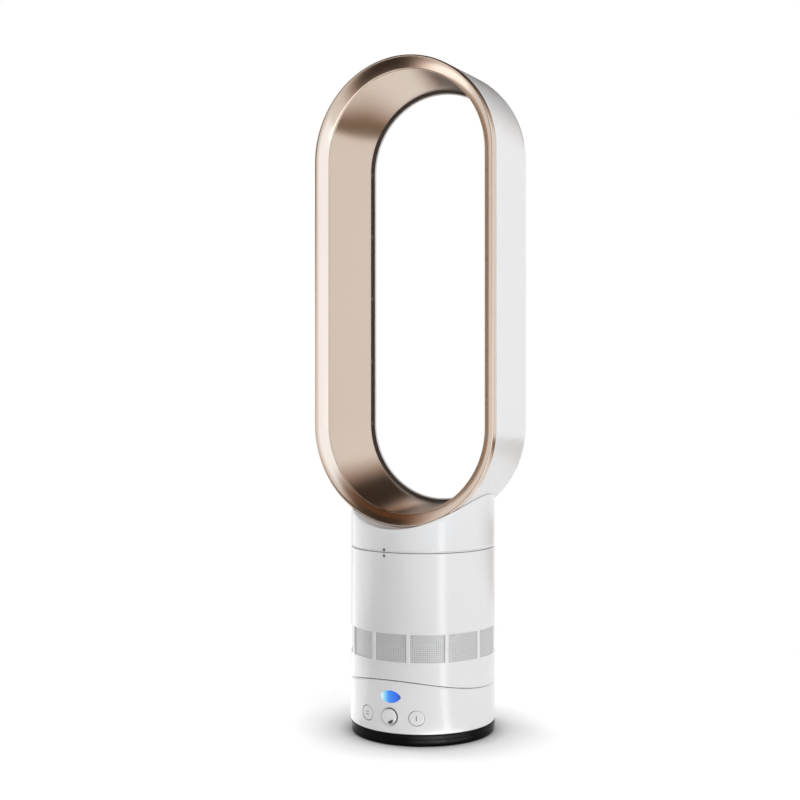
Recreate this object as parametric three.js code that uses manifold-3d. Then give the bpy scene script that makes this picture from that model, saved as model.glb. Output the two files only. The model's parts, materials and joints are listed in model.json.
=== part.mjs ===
// Tower fan with an oval air loop in place of open blades.
// Millimetres, +Z up, the front faces -Y, the origin is the middle of the footprint.
// A foot stands still, the control base swivels on it, the body tilts in the base's
// cradle, and the loop twists out of the body's bayonet.
import * as THREE from 'three';
import { mergeVertices } from 'three/addons/utils/BufferGeometryUtils.js';
import Module from 'manifold-3d';

const wasm = await Module();
wasm.setup();

// ---------- Driving dimensions ----------

// Clearances
const seat = 0.3;               // between pieces that sit on each other
const glide = 0.4;              // between a moving piece and its guide
const bladeGap = 1.6;           // impeller tip to shroud
const overrun = 5;              // how far a cutting tool runs past what it cuts
const overlap = 1;              // how far joined forms run into each other

// Tower
const towerRadius = 90;
const wall = 3;
const towerSeam = 0.8;          // open parting line between housings
const edgeChamfer = 0.8;

// Heights up the tower, each from the one before it
const footHeight = 14;
const swivelSeam = 0.6;
const controlsRise = 20.1;      // foot to knob and buttons
const displayRise = 24;         // knob to display
const cradleRise = 28.5;        // knob to the cradle's lowest line
const rimHeight = 7.73;         // housing's highest edge to the shoulder inside the body
const windowRise = 14.8;        // shoulder to intake windows
const windowHeight = 33;
const eyeRise = 8.2;            // windows to impeller
const impellerHeight = 22;
const hubOverrun = 4.5;         // hub above the blades
const hubGap = 1.3;             // hub to motor bucket
const diffuserRise = 15.2;      // bucket floor to diffuser
const diffuserHeight = 20;
const mountRise = 15;           // diffuser's underside to the rubber mount's ledge
const collarRise = 20.8;        // shroud flange to the loop's collar
const loopRise = 27.5;          // collar to the loop's lowest line
const loopHeight = 572.2;

// Foot
const padHeight = 2.6;
const padWidth = 18;
const padInset = 8;             // tower surface to the pad
const skirtGap = 2;
const skirtBottom = 1;
const panThickness = 2.1;
const footTuck = 0.9;           // the lower band stands back from the upper one
const footBand = 5.8;
const footBevel = 0.6;
const footChamfer = 1.5;
const footWall = 3.6;
const postBore = 9;
const postRadius = 14;
const postHead = 3.4;
const clipGroove = 1.5;
const clipHeight = 2.2;
const clipReach = 8;
const clipMouth = 14;
const ballastHeight = 7;
const ballastWidth = 17;
const ballastGap = 1.71;        // pinion teeth to ballast
const ringGap = 4;              // ballast to slide ring
const slideWidth = 8;
const slideInset = 12;
const slideProud = 0.7;
const glandRadius = 4.5;
const glandFlange = 5.4;
const glandBevel = 1;
const glandBore = 2.6;
const glandDrop = 6.4;          // foot's top to the gland's axis
const glandDepth = 6;

// Swivel drive
const sunTeeth = 24;
const pinionTeeth = 8;
const gearWidth = 6.4;
const pressureAngle = 20;
const backlash = 0.3;
const dedendum = 1.2;           // in modules
const addendum = 0.95;
const plateThickness = 3.5;
const pinionShaft = 2.5;
const motorCanRadius = 22;
const motorCanHeight = 19;
const motorCanBevel = 2;
const motorNose = 7;            // depth of the bore for the pinion's shaft
const earReach = 6;
const earHalf = 5;
const earThickness = 2;

// Cradle between control base and body, an arc about the tilt axis
const cradleRadius = 283.4;
const tiltTravel = 5.5;         // degrees each way
const runnerHalfAngle = 5;
const runnerX = 45;
const runnerWeb = 4;
const runnerWidth = 12;
const runnerDepth = 4;
const runnerSink = 0.2;         // runner seat to the cradle's underside
const slotSide = 1;             // web to the side of its slot
const slotEndAngle = 0.8;       // web to the end of its slot, in degrees
const cableSlotX = 11;
const cableSlotY = 22;
const cableBore = 6;

// Controls on the front of the base
const controlsX = 33;
const buttonRadius = 8.7;
const buttonTravel = 1;
const buttonFlange = 1.5;       // reach and thickness of the flange that keeps a button in
const buttonSink = 0.05;
const knobRadius = 9.2;
const knobProud = 3;
const knobFlat = 4.6;
const knobShoulder = 8;
const knobShoulderDrop = 0.7;
const knobRimProud = 1.2;
const knobSink = 1.5;
const knobPointer = 150;        // degrees clockwise from the top
const scoopRadius = 4.4;
const scoopReach = 6;
const scoopSink = 2.7;
const shaftRadius = 3;
const shaftEnd = 2.5;           // knob shaft's end to the board
const boardThickness = 1.6;
const boardSideGap = 6.8;       // board's edge to the tower's inside
const boardFootGap = 1.5;
const boardHeadGap = 3.3;
const railRise = 1;
const railFront = 5.4;          // rails before and behind the board
const railRear = 3;
const switchHalf = 6;
const switchHeight = 3.6;
const plungerRadius = 3;
const plungerProud = 0.9;
const encoderHalf = 7;
const encoderDepth = 6;
const encoderCollar = 12;
const encoderCollarWall = 2;
const encoderFloor = 2;
const displayX = 1.4;
const displayHalfWidth = 13.2;
const displayHalfHeight = 7.2;
const displayPoint = 0.3;       // how far the right end narrows
const lightInset = 2.5;
const lightSink = 1.4;

// Intake in the body
const windowCount = 12;
const windowPost = 5;
const grilleThickness = 1.6;
const grilleOverlap = 3.5;
const slotsPerWindow = 3;
const slotWeb = 2.4;
const slotMargin = 1.2;
const bossX = 40;
const bossY = 28;
const bossRadius = 3.5;
const bossRise = 3;             // shoulder to the drive board

// Drive board
const driveHalfX = 50;
const driveHalfY = 36;
const capacitorRadius = 8;
const capacitorHeight = 22;
const capacitorX = -26;
const capacitorY = 8;
const chokeHeight = 10;
const chokeX = 2;
const chokeY = -18;
const sinkX = 14;
const sinkLength = 30;
const sinkY = 6;
const sinkThickness = 3;
const sinkHeight = 20;
const finCount = 4;
const finPitch = 8;
const finLength = 7;
const finThickness = 2;

// Impeller, shroud and diffuser
const bladeCount = 7;
const bladeThickness = 1.6;
const bladeWrap = 62;           // degrees
const bladeRoot = 1.5;          // how far the blades stand in the hub
const tipGrowth = 18;           // eye to outlet
const tipCurve = 1.3;
const hubNose = 13;
const hubShank = 9;
const hubRise = 3;
const hubInset = 18;            // outlet to hub
const hubCurve = 0.9;
const spindleRadius = 4;
const spindleFoot = 1.5;
const spindleHead = 3.1;        // below the motor's top
const shroudWall = 2.5;
const shroudStep = 3;           // the duct widens here to hold the diffuser
const shroudHead = 4;
const bellReach = 15;
const bellDepth = 7;
const bellThroat = 3;
const bellLip = 2.6;
const outletInset = 10;         // duct to the blades' outlet
const ductTaper = 6;
const vaneCount = 7;
const vaneLean = 24;            // degrees
const vaneInset = 1;
const diffuserInnerWall = 2.4;
const diffuserOuterWall = 3;
const bucketOverhang = 1.2;     // bucket beyond the hub
const bucketWall = 2;
const bucketRim = 2.2;
const bucketRimHeight = 3;
const capRise = 13;
const capLand = 2;
const motorHeight = 31;
const motorBevel = 3;
const sleeveThickness = 8.6;
const sleeveDrop = 4;
const mountWidth = 7.7;
const mountGap = 2.5;
const mountHeight = 6.7;
const mountFlange = 2.7;
const mountTaper = 1.5;

// Bayonet between body and loop
const twistTravel = 15;         // degrees
const socketWall = 3.3;
const socketFoot = 5;
const spigotClearance = 0.5;
const spigotWall = 2.9;
const spigotDepth = 13.8;
const lugCount = 3;
const lugPhase = 30;
const lugHalfAngle = 5;
const lugSideAngle = 0.6;
const lugReach = 2.5;
const lugDrop = 11.8;
const lugHeight = 3.5;
const sealTaper = 1;

// Loop: a stadium outline seen from the front, and a section that runs round it.
// Section points are [inward offset from the outline, y].
const loopHalfWidth = 121.8;
const loopFront = -60.6;
const loopRear = 59;
const shellWall = 2.5;
const shellBevel = 1;
const bezelDepth = 10.6;
const bezelSeam = 0.6;
const bezelKey = 6;
const bezelEdge = 1.6;          // outer edge of the crowned face, behind its front
const crownStart = 2.4;
const crownEnd = 5.2;
const crownDrop = 0.2;
const slopeReach = 9.6;
const slopeDrop = 3;
const rimWidth = 14.2;
const noseWidth = 13;           // from the outline to the rearmost point
const noseLength = 25;
const lipReach = 13;
const lipDepth = 12;
const lipSweep = 60;            // degrees of the rear lip's roll
const lipWallReach = 1.75;      // thickness of the lip sideways and along y
const lipWallDepth = 2.1;
const throatTaper = 5.2;        // rim to the mouth of the slit
const mouthDepth = 13.5;        // mouth to the rearmost line
const coandaRadius = 5;
const innerWallThickness = 2.2;
const spacerCount = 5;          // on each side of the loop
const spacerLength = 6;
const spacerInner = 1.5;
const airPortHalfX = 38;
const airPortFrontGap = 12;
const airPortRearGap = 8;
const airPortCorner = 12;
const splitterHeight = 17;
const splitterHalf = 7;
const splitterNeck = 8;
const splitterNeckHalf = 5;
const splitterOverhang = 14;

// Facets
const ringSegments = 32;        // shells, and what their bores hold closely
const innerSegments = 16;       // turned pieces inside the tower
const smallSegments = 12;
const controlSegments = 16;     // knob, buttons and their bores
const cradleSegments = 5;
const endSegments = 14;         // on each round end of the loop
const sectorStep = 6;           // degrees
const bladeSteps = 2;

// Derived radii
const degrees = Math.PI / 180;
const flatShare = Math.cos(Math.PI / innerSegments);    // a facet's middle against its corners
const towerInner = towerRadius - wall;
const insideRadius = towerInner - seat;
const padOuter = towerRadius - padInset;
const padInner = padOuter - padWidth;
const slideOuter = towerRadius - slideInset;
const slideInner = slideOuter - slideWidth;
const ballastOuter = slideInner - ringGap;
const ballastInner = ballastOuter - ballastWidth;
const gearReach = ballastInner - ballastGap - backlash / 2;
const gearModule = gearReach / (sunTeeth / 2 + pinionTeeth + addendum);
const gearCentre = gearModule * (sunTeeth + pinionTeeth) / 2 + backlash / 2;
const clipOuter = postRadius + clipReach;
const cradleUnder = cradleRadius + wall;
const rockerRadius = cradleRadius - towerSeam;
const rockerInner = rockerRadius - wall;
const ductWide = insideRadius - mountWidth - mountGap - shroudWall;
const ductRadius = ductWide - shroudStep;
const mountInner = insideRadius - mountWidth;
const tipRadius = ductRadius - outletInset;
const eyeRadius = tipRadius - tipGrowth;
const hubRadius = tipRadius - hubInset;
const bucketRadius = hubRadius + bucketOverhang;
const bucketInner = bucketRadius - bucketWall;
const motorRadius = bucketInner - seat - sleeveThickness - seat;
const spigotOuter = insideRadius - socketWall - spigotClearance;
const saddleRadius = loopHalfWidth + seat;

// Derived heights
const padSeat = padHeight + seat;
const panFloor = padSeat + panThickness;
const drumFloor = panFloor + seat;
const baseBottom = footHeight + swivelSeam;
const slideTop = footHeight + slideProud;
const plateBottom = slideTop + seat;
const plateTop = plateBottom + plateThickness;
const driveFloor = plateTop + seat;
const clipGrooveTop = driveFloor + clipHeight + 2 * seat;
const postTop = clipGrooveTop + postHead;
const glandZ = footHeight - glandDrop;
const controlsZ = footHeight + controlsRise;
const displayZ = controlsZ + displayRise;
const cradleFloorZ = controlsZ + cradleRise;
const tiltAxisZ = cradleFloorZ + cradleRadius;
const cradleEdgeZ = cradleHeight(cradleRadius, towerRadius);
const shoulderZ = cradleEdgeZ + rimHeight;
const driveSeatZ = shoulderZ + bossRise;
const windowBottom = shoulderZ + windowRise;
const windowTop = windowBottom + windowHeight;
const grilleLedge = windowBottom - grilleOverlap - seat;
const impellerBottom = windowTop + eyeRise;
const hubTop = impellerBottom + impellerHeight + hubOverrun;
const bucketFloor = hubTop + hubGap;
const motorBottom = bucketFloor + bucketWall + seat;
const motorTop = motorBottom + motorHeight;
const diffuserBottom = bucketFloor + diffuserRise;
const diffuserTop = diffuserBottom + diffuserHeight;
const mountLedge = diffuserBottom + mountRise;
const flangeBottom = mountLedge + seat + mountHeight + seat;
const flangeTop = flangeBottom + mountFlange;
const collarSeamZ = flangeTop + collarRise;
const shellTop = collarSeamZ - towerSeam;
const lugBottom = collarSeamZ - lugDrop;
const loopBottom = collarSeamZ + loopRise;
const lowerCentre = loopBottom + loopHalfWidth;
const upperCentre = loopBottom + loopHeight - loopHalfWidth;

// Derived depths, along Y
const flangeReach = controlsX + buttonRadius + buttonFlange;
const flatInner = towerInner * Math.cos(Math.PI / ringSegments);
const buttonRear = -Math.sqrt(flatInner ** 2 - flangeReach ** 2) + seat + buttonFlange;
const switchFront = buttonRear + buttonTravel + seat + plungerProud;
const boardFront = switchFront + switchHeight + seat;
const boardRear = boardFront + boardThickness;
const boardHalfWidth = Math.sqrt(towerInner ** 2 - boardFront ** 2) - boardSideGap;
const boardBottom = plateTop + boardFootGap;
const boardTop = cradleHeight(cradleUnder, boardRear) - boardHeadGap;
const knobFront = -(towerRadius + knobProud);
const knobRear = -towerRadius + knobSink;
const bezelBack = loopFront + bezelDepth;
const shellFront = bezelBack + bezelSeam;
const noseY = loopRear - noseLength;
const mouthY = loopRear - mouthDepth;
const mouthOffset = rimWidth + throatTaper;
const airPortFront = bezelBack + airPortFrontGap;
const airPortRear = noseY - airPortRearGap;

// ---------- Finishes ----------

const finishes = {
  whiteGloss: { color: 0xececec, roughness: 0.22, metalness: 0 },
  roseGold: { color: 0xc9ab94, roughness: 0.24, metalness: 1 },
  blackGloss: { color: 0x0b0b0c, roughness: 0.28, metalness: 0 },
  rubber: { color: 0x1c1c1c, roughness: 0.85, metalness: 0 },
  steel: { color: 0x9a9c9f, roughness: 0.35, metalness: 1 },
  acetal: { color: 0xe4e1d6, roughness: 0.5, metalness: 0 },
  greyPlastic: { color: 0x8c8f92, roughness: 0.55, metalness: 0 },
  darkPlastic: { color: 0x2c2d2f, roughness: 0.55, metalness: 0 },
  circuit: { color: 0x1e4f35, roughness: 0.6, metalness: 0 },
  blueLens: { color: 0x1f6cf0, roughness: 0.12, metalness: 0 },
  grille: { color: 0xb4b4b4, roughness: 0.4, metalness: 0.6 },
};

// ---------- Solids from three.js geometry ----------

function signedVolume(points, triangles) {
  let sum = 0;
  const a = new THREE.Vector3();
  const b = new THREE.Vector3();
  const c = new THREE.Vector3();
  for (let i = 0; i < triangles.length; i += 3) {
    a.fromArray(points, 3 * triangles[i]);
    b.fromArray(points, 3 * triangles[i + 1]);
    c.fromArray(points, 3 * triangles[i + 2]);
    sum += a.dot(b.cross(c)) / 6;
  }
  return sum;
}

// A closed solid with its faces outwards, from any closed geometry.
function solidOf(geometry) {
  const bare = geometry.clone();
  bare.deleteAttribute('normal');
  bare.deleteAttribute('uv');
  const merged = mergeVertices(bare, 1e-4);
  const points = merged.getAttribute('position').array;
  const index = merged.index.array;
  const triangles = [];
  for (let i = 0; i < index.length; i += 3) {
    const [a, b, c] = [index[i], index[i + 1], index[i + 2]];
    if (a !== b && b !== c && c !== a) triangles.push(a, b, c);
  }
  if (signedVolume(points, triangles) < 0) triangles.reverse();
  return new wasm.Manifold(new wasm.Mesh({
    numProp: 3,
    vertProperties: new Float32Array(points),
    triVerts: new Uint32Array(triangles),
  }));
}

function geometryOf(solid) {
  const mesh = solid.getMesh();
  const geometry = new THREE.BufferGeometry();
  geometry.setAttribute('position', new THREE.BufferAttribute(mesh.vertProperties, 3));
  geometry.setIndex(new THREE.BufferAttribute(mesh.triVerts, 1));
  geometry.computeVertexNormals();
  return geometry;
}

function join(...solids) {
  return solids.reduce((whole, next) => whole.add(next));
}

function cut(whole, ...tools) {
  return tools.reduce((rest, tool) => rest.subtract(tool), whole);
}

function shapeOf(points) {
  return new THREE.Shape(points.map(([x, y]) => new THREE.Vector2(x, y)));
}

// A profile of [radius, z] points turned about Z.
function revolve(profile, segments = ringSegments) {
  const closed = [...profile, profile[0]].map(([r, z]) => new THREE.Vector2(r, z));
  return solidOf(new THREE.LatheGeometry(closed, segments).rotateX(Math.PI / 2));
}

function ring(inner, outer, bottom, top, segments = ringSegments) {
  return revolve([[inner, bottom], [outer, bottom], [outer, top], [inner, top]], segments);
}

function disc(radius, bottom, top, segments = ringSegments) {
  return ring(0, radius, bottom, top, segments);
}

// A turned solid laid along Y: profile points are [radius, y], on the axis x, z.
function revolveAlongY(profile, x, z, segments = smallSegments) {
  const closed = [...profile, profile[0]].map(([r, y]) => new THREE.Vector2(r, y));
  return solidOf(new THREE.LatheGeometry(closed, segments).translate(x, 0, z));
}

function rodAlongY(radius, x, z, front, rear, segments = smallSegments) {
  return revolveAlongY([[0, front], [radius, front], [radius, rear], [0, rear]], x, z, segments);
}

function box([x0, x1], [y0, y1], [z0, z1]) {
  const geometry = new THREE.BoxGeometry(x1 - x0, y1 - y0, z1 - z0);
  return solidOf(geometry.translate((x0 + x1) / 2, (y0 + y1) / 2, (z0 + z1) / 2));
}

// Outlines pushed along one axis.
function prismAlongZ(points, bottom, top) {
  const options = { depth: top - bottom, bevelEnabled: false };
  return solidOf(new THREE.ExtrudeGeometry(shapeOf(points), options).translate(0, 0, bottom));
}

function prismAlongY(points, front, rear) {
  const options = { depth: rear - front, bevelEnabled: false };
  const geometry = new THREE.ExtrudeGeometry(shapeOf(points), options).rotateX(Math.PI / 2);
  return solidOf(geometry.translate(0, rear, 0));
}

function prismAlongX(points, left, right) {
  const options = { depth: right - left, bevelEnabled: false };
  const turn = new THREE.Matrix4().makeBasis(
    new THREE.Vector3(0, 1, 0), new THREE.Vector3(0, 0, 1), new THREE.Vector3(1, 0, 0));
  const geometry = new THREE.ExtrudeGeometry(shapeOf(points), options).applyMatrix4(turn);
  return solidOf(geometry.translate(left, 0, 0));
}

function arcPoints(centre, radius, from, to, count) {
  return Array.from({ length: count + 1 }, (_, i) => {
    const angle = (from + (to - from) * i / count) * degrees;
    return [centre[0] + radius * Math.cos(angle), centre[1] + radius * Math.sin(angle)];
  });
}

// A slice of a ring between two angles about Z.
function sector(inner, outer, bottom, top, from, to) {
  const steps = Math.max(2, Math.round((to - from) / sectorStep));
  const outline = [
    ...arcPoints([0, 0], outer, from, to, steps),
    ...arcPoints([0, 0], inner, to, from, steps),
  ];
  return prismAlongZ(outline, bottom, top);
}

// Height of the cradle arc of this radius, at a place along Y.
function cradleHeight(radius, y) {
  return tiltAxisZ - Math.sqrt(radius ** 2 - y ** 2);
}

// Everything above the cradle arc of this radius about the tilt axis.
function aboveCradle(radius, halfWidth) {
  const half = Math.asin((towerRadius + 2 * overrun) / rockerInner) / degrees;
  const outline = arcPoints([0, tiltAxisZ], radius, -90 - half, -90 + half, 2 * cradleSegments);
  return prismAlongX([...outline, [0, tiltAxisZ]], -halfWidth, halfWidth);
}

// A strip between two cradle arcs, of a given half angle and span of X.
function cradleStrip(inner, outer, halfAngle, left, right) {
  const centre = [0, tiltAxisZ];
  const outline = [
    ...arcPoints(centre, outer, -90 - halfAngle, -90 + halfAngle, cradleSegments),
    ...arcPoints(centre, inner, -90 + halfAngle, -90 - halfAngle, cradleSegments),
  ];
  return prismAlongX(outline, left, right);
}

// ---------- Foot ----------

function makeFootBase() {
  const lowWall = towerRadius - footTuck;
  const bandBottom = footHeight - footBand;
  const inner = towerRadius - footWall;
  const skirt = padOuter + skirtGap;
  const pan = revolve([
    [postBore, padSeat], [skirt, padSeat], [skirt, skirtBottom], [lowWall - footChamfer, skirtBottom],
    [lowWall, skirtBottom + footChamfer], [lowWall, bandBottom], [towerRadius, bandBottom + footBevel],
    [towerRadius, footHeight], [inner, footHeight], [inner, panFloor], [postBore, panFloor],
  ]);
  return cut(pan, rodAlongY(glandRadius + seat, 0, glandZ, inner - overrun, towerRadius + overrun));
}

// The hollow post that the base turns on, with a groove for the clip.
function makePivotPost() {
  const neck = postRadius - clipGroove;
  return revolve([
    [postBore, drumFloor], [postRadius, drumFloor], [postRadius, driveFloor], [neck, driveFloor],
    [neck, clipGrooveTop], [postRadius, clipGrooveTop], [postRadius, postTop], [postBore, postTop],
  ], innerSegments);
}

function makeRubberPad() {
  return ring(padInner, padOuter, 0, padHeight, innerSegments);
}

function makeBallast() {
  return ring(ballastInner, ballastOuter, drumFloor, drumFloor + ballastHeight, innerSegments);
}

function makeSlideRing() {
  return ring(slideInner, slideOuter, drumFloor, slideTop, innerSegments);
}

// A sprung clip in the post's groove, open at the rear, that holds the swivel plate down.
function makeRetainingClip() {
  const bottom = driveFloor + seat;
  const top = bottom + clipHeight;
  const inner = postRadius - clipGroove + seat;
  const whole = ring(inner, clipOuter, bottom, top, innerSegments);
  const half = clipMouth / 2;
  const mouth = box([-half, half], [0, clipOuter + overrun], [bottom - overrun, top + overrun]);
  return cut(whole, mouth);
}

function makeGland() {
  const front = towerRadius - glandDepth;
  const collar = towerRadius + seat;
  const rear = towerRadius + knobProud;
  return revolveAlongY([
    [glandBore, front], [glandRadius, front], [glandRadius, collar], [glandFlange, collar],
    [glandFlange, rear - glandBevel], [glandFlange - glandBevel, rear], [glandBore, rear],
  ], 0, glandZ);
}

// ---------- Gears ----------

// Half the tooth angle at a radius, for an involute tooth thinned by the backlash.
function toothHalfAngle(teeth, radius) {
  const pitch = gearModule * teeth / 2;
  const base = pitch * Math.cos(pressureAngle * degrees);
  const involute = (r) => {
    const pressure = Math.acos(Math.min(1, base / Math.max(r, base)));
    return Math.tan(pressure) - pressure;
  };
  const atPitch = Math.PI / (2 * teeth) - backlash / (2 * pitch);
  return atPitch + involute(pitch) - involute(radius);
}

// An involute outline, with its first tooth centred on the angle `phase`.
function gearOutline(teeth, phase) {
  const pitch = gearModule * teeth / 2;
  const radii = [pitch - dedendum * gearModule, pitch, pitch + addendum * gearModule];
  const outline = [];
  for (let tooth = 0; tooth < teeth; tooth += 1) {
    const middle = phase + 2 * Math.PI * tooth / teeth;
    const flank = radii.map((radius) => [radius, toothHalfAngle(teeth, radius)]);
    const left = flank.map(([radius, half]) => [radius, middle - half]);
    const right = flank.map(([radius, half]) => [radius, middle + half]).reverse();
    for (const [radius, angle] of [...left, ...right]) {
      outline.push([radius * Math.cos(angle), radius * Math.sin(angle)]);
    }
  }
  return outline;
}

function makeSunGear() {
  const top = drumFloor + gearWidth;
  const blank = prismAlongZ(gearOutline(sunTeeth, Math.PI / 2), drumFloor, top);
  return cut(blank, disc(postRadius + seat, drumFloor - overrun, top + overrun, innerSegments));
}

// The pinion, modelled about its own axis: a gear under a shaft.
function makePinion() {
  const bottom = drumFloor + seat;
  const shaftTop = driveFloor + motorNose - glide;
  const phase = -Math.PI / 2 + Math.PI / pinionTeeth;
  const gear = prismAlongZ(gearOutline(pinionTeeth, phase), bottom, bottom + gearWidth);
  return join(gear, disc(pinionShaft, bottom + overlap, shaftTop, smallSegments));
}

// ---------- Control base ----------

function makeSwivelPlate() {
  const inner = postRadius + glide;
  const plate = ring(inner, insideRadius, plateBottom, plateTop, innerSegments);
  const bore = disc(pinionShaft + glide, plateBottom - overrun, plateTop + overrun, smallSegments);
  return cut(plate, bore.translate([0, gearCentre, 0]));
}

// Modelled about the pinion's axis: a can with a bored nose and two ears.
function makeSwivelMotor() {
  const top = driveFloor + motorCanHeight;
  const boreRadius = pinionShaft + glide;
  const boreTop = driveFloor + motorNose;
  const can = revolve([
    [boreRadius, driveFloor], [motorCanRadius, driveFloor], [motorCanRadius, top - motorCanBevel],
    [motorCanRadius - motorCanBevel, top], [0, top], [0, boreTop], [boreRadius, boreTop],
  ], smallSegments);
  const earX = motorCanRadius + earReach;
  const ears = box([-earX, earX], [-earHalf, earHalf], [driveFloor, driveFloor + earThickness]);
  const bore = disc(boreRadius, driveFloor - overrun, boreTop, smallSegments);
  const postRoom = disc(clipOuter + overlap, driveFloor - overrun, postTop + overlap, innerSegments);
  return cut(join(can, ears), bore, postRoom.translate([0, -gearCentre, 0]));
}

// The display's outline: an oval with its right end drawn to a point.
function displayOutline(growth) {
  const count = controlSegments;
  return Array.from({ length: count }, (_, i) => {
    const angle = 2 * Math.PI * i / count;
    const narrowing = 1 - displayPoint * Math.max(0, Math.cos(angle)) ** 2;
    return [
      displayX + (displayHalfWidth + growth) * Math.cos(angle),
      displayZ + (displayHalfHeight + growth) * Math.sin(angle) * narrowing,
    ];
  });
}

function makeControlHousing() {
  const top = cradleEdgeZ + overrun;
  const ledge = towerInner - wall;
  const tube = revolve([
    [towerRadius - edgeChamfer, baseBottom], [towerRadius, baseBottom + edgeChamfer], [towerRadius, top],
    [towerInner, top], [towerInner, driveFloor + wall], [ledge, driveFloor + wall], [ledge, driveFloor],
    [towerInner, driveFloor], [towerInner, baseBottom],
  ]);
  const cradle = disc(towerInner + overlap, controlsZ, top).intersect(aboveCradle(cradleUnder, towerRadius));
  const whole = join(tube, cradle, ...boardRails());
  return cut(whole, aboveCradle(cradleRadius, towerRadius + overrun), ...cradleSlots(top), ...controlBores());
}

// Two rails inside the housing, on each side of the control board.
function boardRails() {
  const room = disc(towerInner + overlap, driveFloor + railRise, boardTop);
  const near = boardHalfWidth + seat;
  return [-1, 1].map((side) => {
    const span = [side * near, side * (near + wall)].sort((a, b) => a - b);
    const rail = box(span, [boardFront - railFront, boardRear + railRear], [driveFloor, boardTop]);
    return rail.intersect(room);
  });
}

// Slots in the cradle for the two webs of the body and for its cable.
function cradleSlots(top) {
  const half = runnerWeb / 2 + slotSide;
  const reach = cradleUnder * Math.sin((runnerHalfAngle + tiltTravel + slotEndAngle) * degrees);
  const height = [cradleFloorZ - wall - overrun, top + overrun];
  const webs = [-runnerX, runnerX].map((x) => box([x - half, x + half], [-reach, reach], height));
  return [...webs, box([-cableSlotX, cableSlotX], [-cableSlotY, cableSlotY], height)];
}

function controlBores() {
  const front = -towerRadius - overrun;
  const rear = boardFront;
  const buttons = [-controlsX, controlsX].map((x) => (
    rodAlongY(buttonRadius + glide, x, controlsZ, front, rear, controlSegments)));
  const knob = rodAlongY(knobRadius + glide, 0, controlsZ, front, rear, controlSegments);
  return [...buttons, knob, prismAlongY(displayOutline(seat), front, rear)];
}

function makeDisplayLens() {
  const plug = prismAlongY(displayOutline(0), -towerRadius - overrun, boardFront);
  const half = displayHalfHeight + overrun;
  return plug.intersect(ring(towerInner + seat, towerRadius, displayZ - half, displayZ + half));
}

// The light guide stands on the board and ends behind the lens.
function makeDisplayLight() {
  return prismAlongY(displayOutline(-lightInset), -towerInner + lightSink, boardFront - seat);
}

function makeControlBoard() {
  return box([-boardHalfWidth, boardHalfWidth], [boardFront, boardRear], [boardBottom, boardTop]);
}

function makeEncoder() {
  const rear = boardFront - seat;
  const half = [-encoderHalf, encoderHalf];
  const body = box(half, [rear - encoderDepth, rear], half.map((reach) => controlsZ + reach));
  const collarFront = rear - encoderCollar;
  const collarRear = rear - encoderDepth + overlap;
  const collar = rodAlongY(shaftRadius + encoderCollarWall, 0, controlsZ, collarFront, collarRear);
  const bore = rodAlongY(shaftRadius + glide, 0, controlsZ, collarFront - overrun, rear - encoderFloor);
  return cut(join(body, collar), bore);
}

// A switch stands on the board, just short of a pressed button.
function makeSwitch(side) {
  const rear = boardFront - seat;
  const x = side * controlsX;
  const body = box([x - switchHalf, x + switchHalf], [switchFront, rear],
    [controlsZ - switchHalf, controlsZ + switchHalf]);
  const tip = switchFront - plungerProud;
  return join(body, rodAlongY(plungerRadius, x, controlsZ, tip, switchFront + overlap, smallSegments));
}

// A button's face follows the housing, and a flange behind the wall keeps it in.
function makeButton(side) {
  const x = side * controlsX;
  const flangeFront = buttonRear - buttonFlange;
  const flangeRadius = buttonRadius + buttonFlange;
  const faceFront = -towerRadius - overrun;
  const face = rodAlongY(buttonRadius, x, controlsZ, faceFront, flangeFront + overlap, controlSegments);
  const flange = rodAlongY(flangeRadius, x, controlsZ, flangeFront, buttonRear, controlSegments);
  const half = buttonRadius + overrun;
  const round = disc(towerRadius - buttonSink, controlsZ - half, controlsZ + half);
  return join(face.intersect(round), flange);
}

// A domed knob with a scooped pointer, on a shaft that reaches into the encoder.
function makeKnob() {
  const tail = boardFront - seat - shaftEnd;
  const knob = revolveAlongY([
    [0, knobFront], [knobFlat, knobFront], [knobShoulder, knobFront + knobShoulderDrop],
    [knobRadius, -towerRadius - knobRimProud], [knobRadius, knobRear], [shaftRadius, knobRear],
    [shaftRadius, tail], [0, tail],
  ], 0, controlsZ, controlSegments);
  const angle = (90 - knobPointer) * degrees;
  const scoop = new THREE.SphereGeometry(scoopRadius, smallSegments, 8);
  const [x, z] = [scoopReach * Math.cos(angle), scoopReach * Math.sin(angle)];
  scoop.translate(x, knobFront - scoopSink, controlsZ + z);
  return cut(knob, solidOf(scoop));
}

// ---------- Body ----------

function windowTool(index) {
  const width = 2 * towerRadius * Math.sin(Math.PI / windowCount) - windowPost;
  const depth = [-towerRadius - overrun, -towerInner + 2 * wall];
  const tool = box([-width / 2, width / 2], depth, [windowBottom, windowTop]);
  return tool.rotate([0, 0, index * 360 / windowCount]);
}

function makeBodyShell() {
  const foot = cradleFloorZ - overrun;
  const ledge = towerInner - wall;
  const tube = revolve([
    [towerRadius, foot], [towerRadius, shellTop - edgeChamfer], [towerRadius - edgeChamfer, shellTop],
    [towerInner, shellTop], [towerInner, mountLedge], [mountInner, mountLedge],
    [mountInner, mountLedge - wall], [towerInner, mountLedge - wall], [towerInner, grilleLedge],
    [ledge, grilleLedge], [ledge, shoulderZ], [towerInner, shoulderZ], [towerInner, foot],
  ]);
  const windows = Array.from({ length: windowCount }, (_, i) => windowTool(i));
  const block = disc(towerRadius + overrun, foot - overrun, cradleEdgeZ + overrun);
  const under = cut(block, aboveCradle(rockerRadius, towerRadius + 2 * overrun));
  return cut(tube, under, ...windows);
}

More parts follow.
